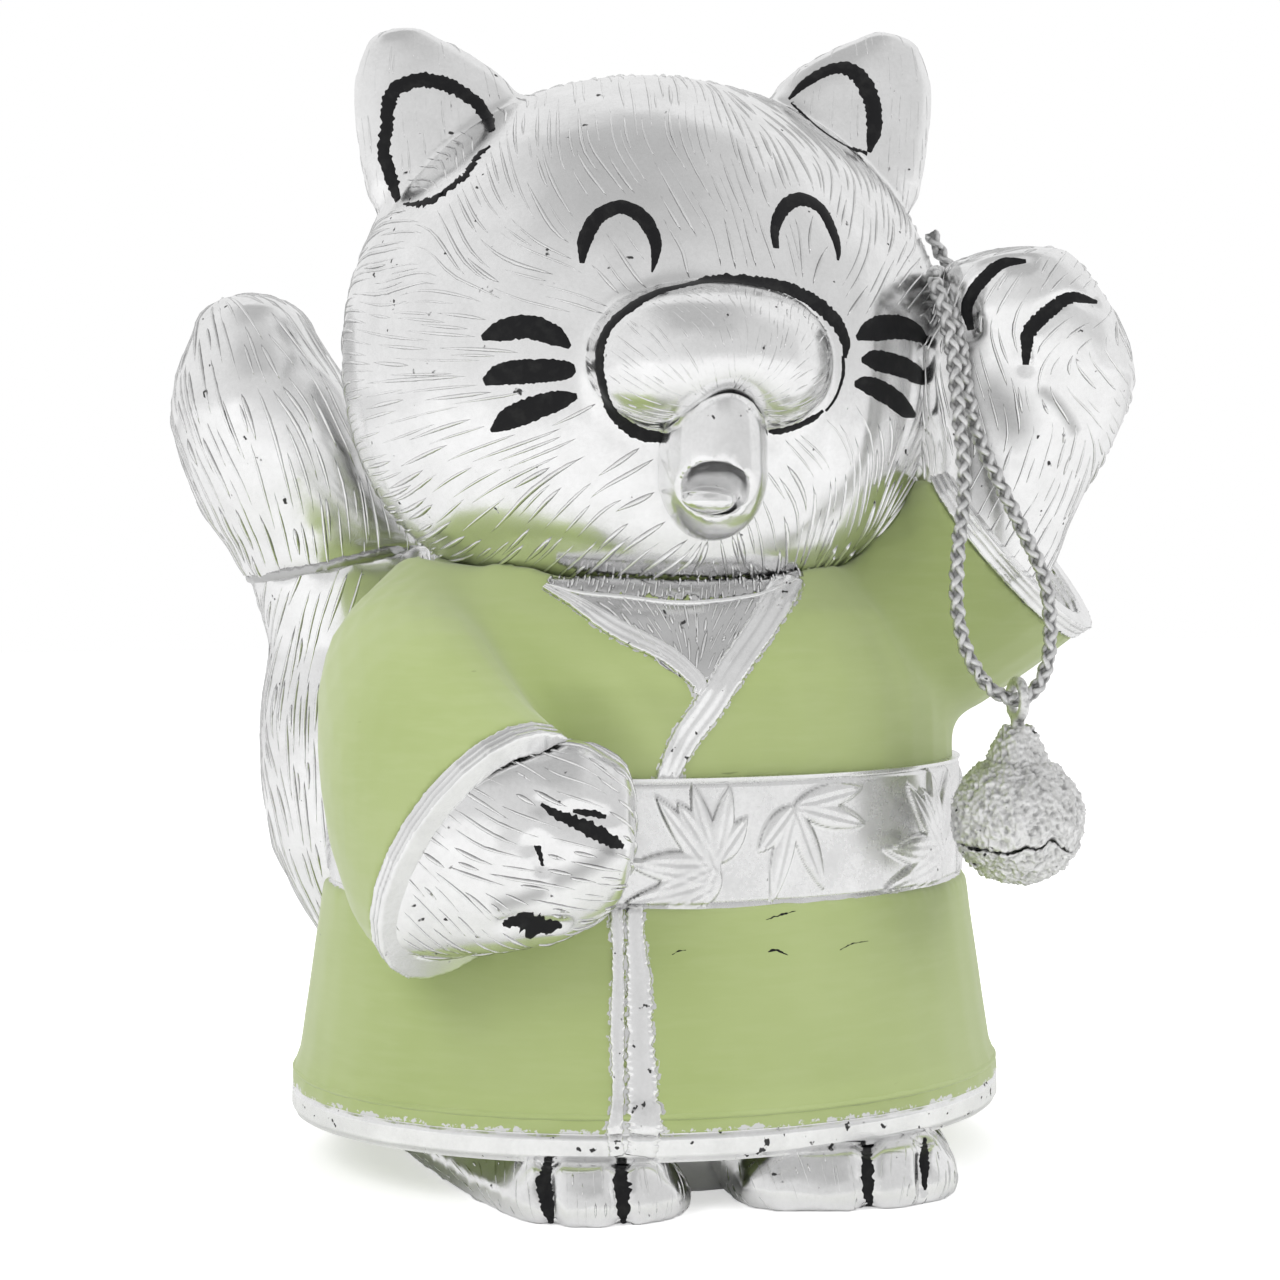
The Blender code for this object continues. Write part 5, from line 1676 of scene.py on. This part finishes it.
@dataclass
class Cord:
    """Braided cord: its loop, its tucked ends, its knot and its free end."""

    finishes: Finishes
    diameter: float = 1.9 * MM
    strands: int = 2
    thread: float = 0.41 * MM
    sway: float = 0.15 * MM
    pitch: float = 4.2 * MM
    route: Line = (
        "27.75,-21.5,99.6 27.4,-23.8,98.4 27.8,-25.4,94.6 28.4,-26.0,90.0 28.8,-26.3,85.0 29.3,-26.4,80.0 "
        "29.4,-26.5,75.5 28.7,-26.6,70.0 28.4,-26.8,64.0 29.4,-26.9,58.8 31.6,-27.0,55.0 33.6,-27.0,53.5 "
        "35.5,-27.0,53.0 37.2,-27.0,53.7 38.7,-27.0,56.0 39.4,-26.9,60.0 38.9,-26.7,66.0 36.4,-26.4,71.6 "
        "33.9,-25.7,77.0 31.8,-24.9,82.0 30.5,-24.4,87.4 30.0,-24.2,91.6 29.5,-23.2,95.4 28.9,-21.3,97.3"
    )
    tucks: dict[str, Line] = field(
        default_factory=lambda: {
            "cord_tuck_upper": "27.9,-20.7,100.1 28.7,-18.6,100.8 30.6,-15.4,101.2 33.3,-11.8,100.9 35.6,-8.4,100.0",
            "cord_tuck_lower": "28.7,-20.5,97.9 29.3,-18.4,98.6 31.1,-15.2,99.0 33.6,-11.7,98.7 35.6,-8.4,97.8",
            "cord_end": "36.4,-6.7,101.6 34.9,-7.1,102.7 33.6,-7.5,104.4 32.4,-7.7,106.6",
        }
    )

    def build(self, bell_pieces: list[Piece]) -> None:
        """Args:
            bell_pieces: What hangs on the loop; not used.
        """
        points = along_curve(self.route, 0.25, 3) * MM
        loop = self.braid("cord_braid", points)
        presented(loop, self.finishes.braid, "cord", body=Body.LOOP)
        for name, route in self.tucks.items():
            short = self.braid(f"{name}_braid", along_curve(route, 0.25, 3) * MM)
            presented(short, self.finishes.braid, name)
        knot = copied("cord_knot", "cord_knot_cast")
        recast(knot, 0.35, 3, 1)
        ripple(knot, 0.5, 0.9)
        presented(knot, self.finishes.braid, "cord_knot")
        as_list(bell_pieces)

    def braid(self, name: str, points: np.ndarray) -> Piece:
        """Plaits strands round a line, each over and under those of the other hand.

        Args:
            name: The piece's name.
            points: The cord's centre line.

        Returns:
            The braid as one mesh, with a core.
        """
        tangents = np.gradient(points, axis=0)
        tangents /= np.linalg.norm(tangents, axis=1)[:, None]
        side = np.cross(tangents[0], (0.0, 1.0, 0.3))
        sides = []
        for tangent in tangents:
            side = side - tangent * side.dot(tangent)
            side = side / np.linalg.norm(side)
            sides.append(side)
        sides = np.array(sides)
        ups = np.cross(tangents, sides)
        reach = np.concatenate([[0.0], np.cumsum(np.linalg.norm(np.diff(points, axis=0), axis=1))])
        ring = 0.5 * self.diameter - self.thread - self.sway
        lines = []
        for hand in (1, -1):
            for number in range(self.strands):
                angle = 2.0 * math.pi * (number / self.strands + hand * reach / self.pitch)
                out = ring + hand * self.sway * np.cos(self.strands * 2.0 * math.pi * reach / self.pitch)
                lines.append(points + sides * (out * np.cos(angle))[:, None] + ups * (out * np.sin(angle))[:, None])
        curve = bpy.data.curves.new(name, "CURVE")
        curve.dimensions = "3D"
        curve.bevel_depth = self.thread
        curve.bevel_resolution = 1
        curve.use_fill_caps = True
        for line in (*lines, points):
            spline = curve.splines.new("POLY")
            spline.points.add(len(line) - 1)
            spline.points.foreach_set("co", np.column_stack([line, np.ones(len(line))]).ravel())
        for core_point in curve.splines[-1].points:
            core_point.radius = 1.3
        obj = bpy.data.objects.new(name, curve)
        bpy.context.scene.collection.objects.link(obj)
        chosen(obj)
        bpy.ops.object.convert(target="MESH")
        obj = bpy.context.object
        welded(obj)
        middle = KDTree(len(points))
        for index, point in enumerate(points):
            middle.insert(point, index)
        middle.balance()
        depth = np.array([middle.find(row)[2] for row in places(obj)]) / (0.5 * self.diameter)
        # Painted shade in the crevices between the threads, deeper towards the core.
        marked(obj, "groove", np.clip((0.88 - depth) * 3.4, 0.0, 1.0))
        bpy.ops.object.shade_smooth()
        return obj


@dataclass
class Bell:
    """Granular jingle bell: eye, crown, bowl and pea."""

    finishes: Finishes
    parts: tuple[tuple[str, Body, float, float, int], ...] = (
        ("bell_eye", Body.BELL, 0.28, 0.10, 1),
        ("bell_crown", Body.BELL, 0.2, 0.62, 0),
        ("bell_bowl", Body.BELL, 0.2, 0.62, 0),
        ("bell_pea", Body.PEA, 0.35, 0.03, 1),
    )
    grains: tuple[tuple[float, float], ...] = ((0.5, 1500.0), (0.5, 3100.0), (0.25, 600.0))
    seam: float = 37.3
    tear: float = 1.2

    def build(self) -> list[Piece]:
        """Builds the bell's pieces.

        Returns:
            The pieces that hang on the cord.
        """
        pieces = []
        for name, body, cage, lump, levels in self.parts:
            obj = copied(name, f"{name}_cast")
            recast(obj, cage, 3, levels)
            rows, outward = places(obj), normals(obj)
            height = sum(
                share * np.array([noise.noise(Vector(row) * size) for row in rows])
                for share, size in self.grains
            )
            rows += outward * (height * lump * MM)[:, None]
            if name in ("bell_crown", "bell_bowl"):
                near = np.exp(-(((rows[:, 2] / MM - self.seam) / 1.3) ** 2))
                tear = [noise.noise(Vector((row[0], row[1], 0.0)) * 420.0) for row in rows]
                rows[:, 2] += np.array(tear) * near * self.tear * MM
            moved(obj, rows)
            # Painted shade in the low spots of the grain.
            marked(obj, "groove", np.clip(0.12 - height * 2.2, 0.0, 1.0))
            presented(obj, self.finishes.bell, name, body=body)
            pieces.append(obj)
        return pieces


@dataclass(frozen=True)
class Studio:
    """Plain pale floor, soft light and a white background."""

    floor_size: float = 2.4
    day: float = 0.66
    lamps: tuple[tuple[str, tuple[float, float, float], float, float], ...] = (
        ("lamp_left", (-0.65, -0.4, 0.7), 0.5, 3.0),
        ("lamp_right", (0.65, -0.35, 0.55), 0.45, 1.6),
        ("lamp_top", (0.0, 0.15, 0.9), 0.6, 1.6),
    )

    def build(self) -> None:
        """Adds the floor, the world and the lamps."""
        bpy.ops.object.select_all(action="DESELECT")
        bpy.ops.mesh.primitive_plane_add(size=self.floor_size)
        floor = bpy.context.object
        floor.name = "studio_floor"
        floor.data.materials.append(self.floor_material())
        self.world()
        for name, place, size, power in self.lamps:
            data = bpy.data.lights.new(name, "AREA")
            data.shape = "DISK"
            data.size = size
            data.energy = power
            lamp = bpy.data.objects.new(name, data)
            lamp.location = place
            lamp.rotation_euler = (Vector((0.0, 0.0, 0.065)) - Vector(place)).to_track_quat("-Z", "Y").to_euler()
            lamp.visible_glossy = False
            bpy.context.scene.collection.objects.link(lamp)

    @staticmethod
    def floor_material() -> bpy.types.Material:
        """White, and bright enough to the camera to meet the background."""
        material, nodes = Tree.of_material("floor_white")
        path = nodes.add("LightPath")
        diffuse = nodes.add("BsdfDiffuse", {"Color": grey(0.9)})
        share = nodes.maths("MULTIPLY", path.outputs["Is Camera Ray"], 0.5)
        glow = nodes.add("Emission", {"Color": grey(1.0), "Strength": share})
        total = nodes.add("AddShader", {0: diffuse.outputs[0], 1: glow.outputs[0]})
        nodes.add("OutputMaterial", {"Surface": total.outputs[0]})
        return material

    def world(self) -> None:
        """White to the camera, a pale tent with one dim opening to the metal, daylight to the paint."""
        world = bpy.data.worlds.new("studio_world")
        bpy.context.scene.world = world
        world.use_nodes = True
        nodes = Tree(world.node_tree)
        path = nodes.add("LightPath")
        way = nodes.add("TexCoord").outputs["Generated"]
        up = nodes.add("SeparateXYZ", {0: way}).outputs["Z"]
        front = nodes.add("VectorMath", {0: way, 1: tuple(-PHOTO.ahead)}, operation="DOT_PRODUCT").outputs["Value"]
        side = nodes.add("VectorMath", {0: way, 1: tuple(PHOTO.right)}, operation="DOT_PRODUCT").outputs["Value"]
        lift = nodes.maths("ARCTAN2", up, front)
        tent = nodes.mix(nodes.spread(side, -0.9, 0.3), grey(0.84), grey(0.70))
        tent = nodes.mix(nodes.spread(front, 0.1, -0.2), tent, grey(0.92))
        tent = nodes.mix(nodes.spread(lift, math.radians(102.5), math.radians(105.5)), tent, grey(0.87))
        opening = nodes.spread(lift, math.radians(30.0), math.radians(54.0))
        opening = nodes.maths("MULTIPLY", opening, nodes.spread(lift, math.radians(105.5), math.radians(102.5)))
        opening = nodes.maths("MULTIPLY", opening, nodes.spread(nodes.maths("ABSOLUTE", side), 0.52, 0.22))
        tent = nodes.mix(opening, tent, grey(0.52))
        tent = nodes.mix(nodes.spread(up, 0.0, -0.05), tent, grey(1.0))
        glossy = nodes.add("Background", {"Color": tent, "Strength": 1.0})
        plain = nodes.add("Background", {"Color": grey(1.0), "Strength": self.day})
        white = nodes.add("Background", {"Color": grey(1.0), "Strength": 1.0})
        shiny = nodes.add("MixShader", {0: path.outputs["Is Glossy Ray"], 1: plain.outputs[0], 2: glossy.outputs[0]})
        clear = nodes.maths("MAXIMUM", path.outputs["Is Camera Ray"], path.outputs["Is Transmission Ray"])
        final = nodes.add("MixShader", {0: clear, 1: shiny.outputs[0], 2: white.outputs[0]})
        nodes.add("OutputWorld", {"Surface": final.outputs[0]})


def main() -> None:
    """Builds the figurine's looks in order."""
    logging.basicConfig(level=logging.INFO, format="%(message)s")
    noise.seed_set(NOISE_SEED)
    bpy.context.scene.view_settings.view_transform = "Standard"
    PHOTO.build()
    Studio().build()
    finishes = Finishes()
    bell = Bell(finishes).build()
    Cord(finishes).build(bell)
    Head(finishes).build()
    Limbs(finishes).build()
    Kimono(finishes).build()
    Belt(finishes).build()
    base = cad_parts["base_block"]
    base.data.materials.clear()
    base.data.materials.append(finishes.silver.material)


if __name__ == "__main__":
    main()
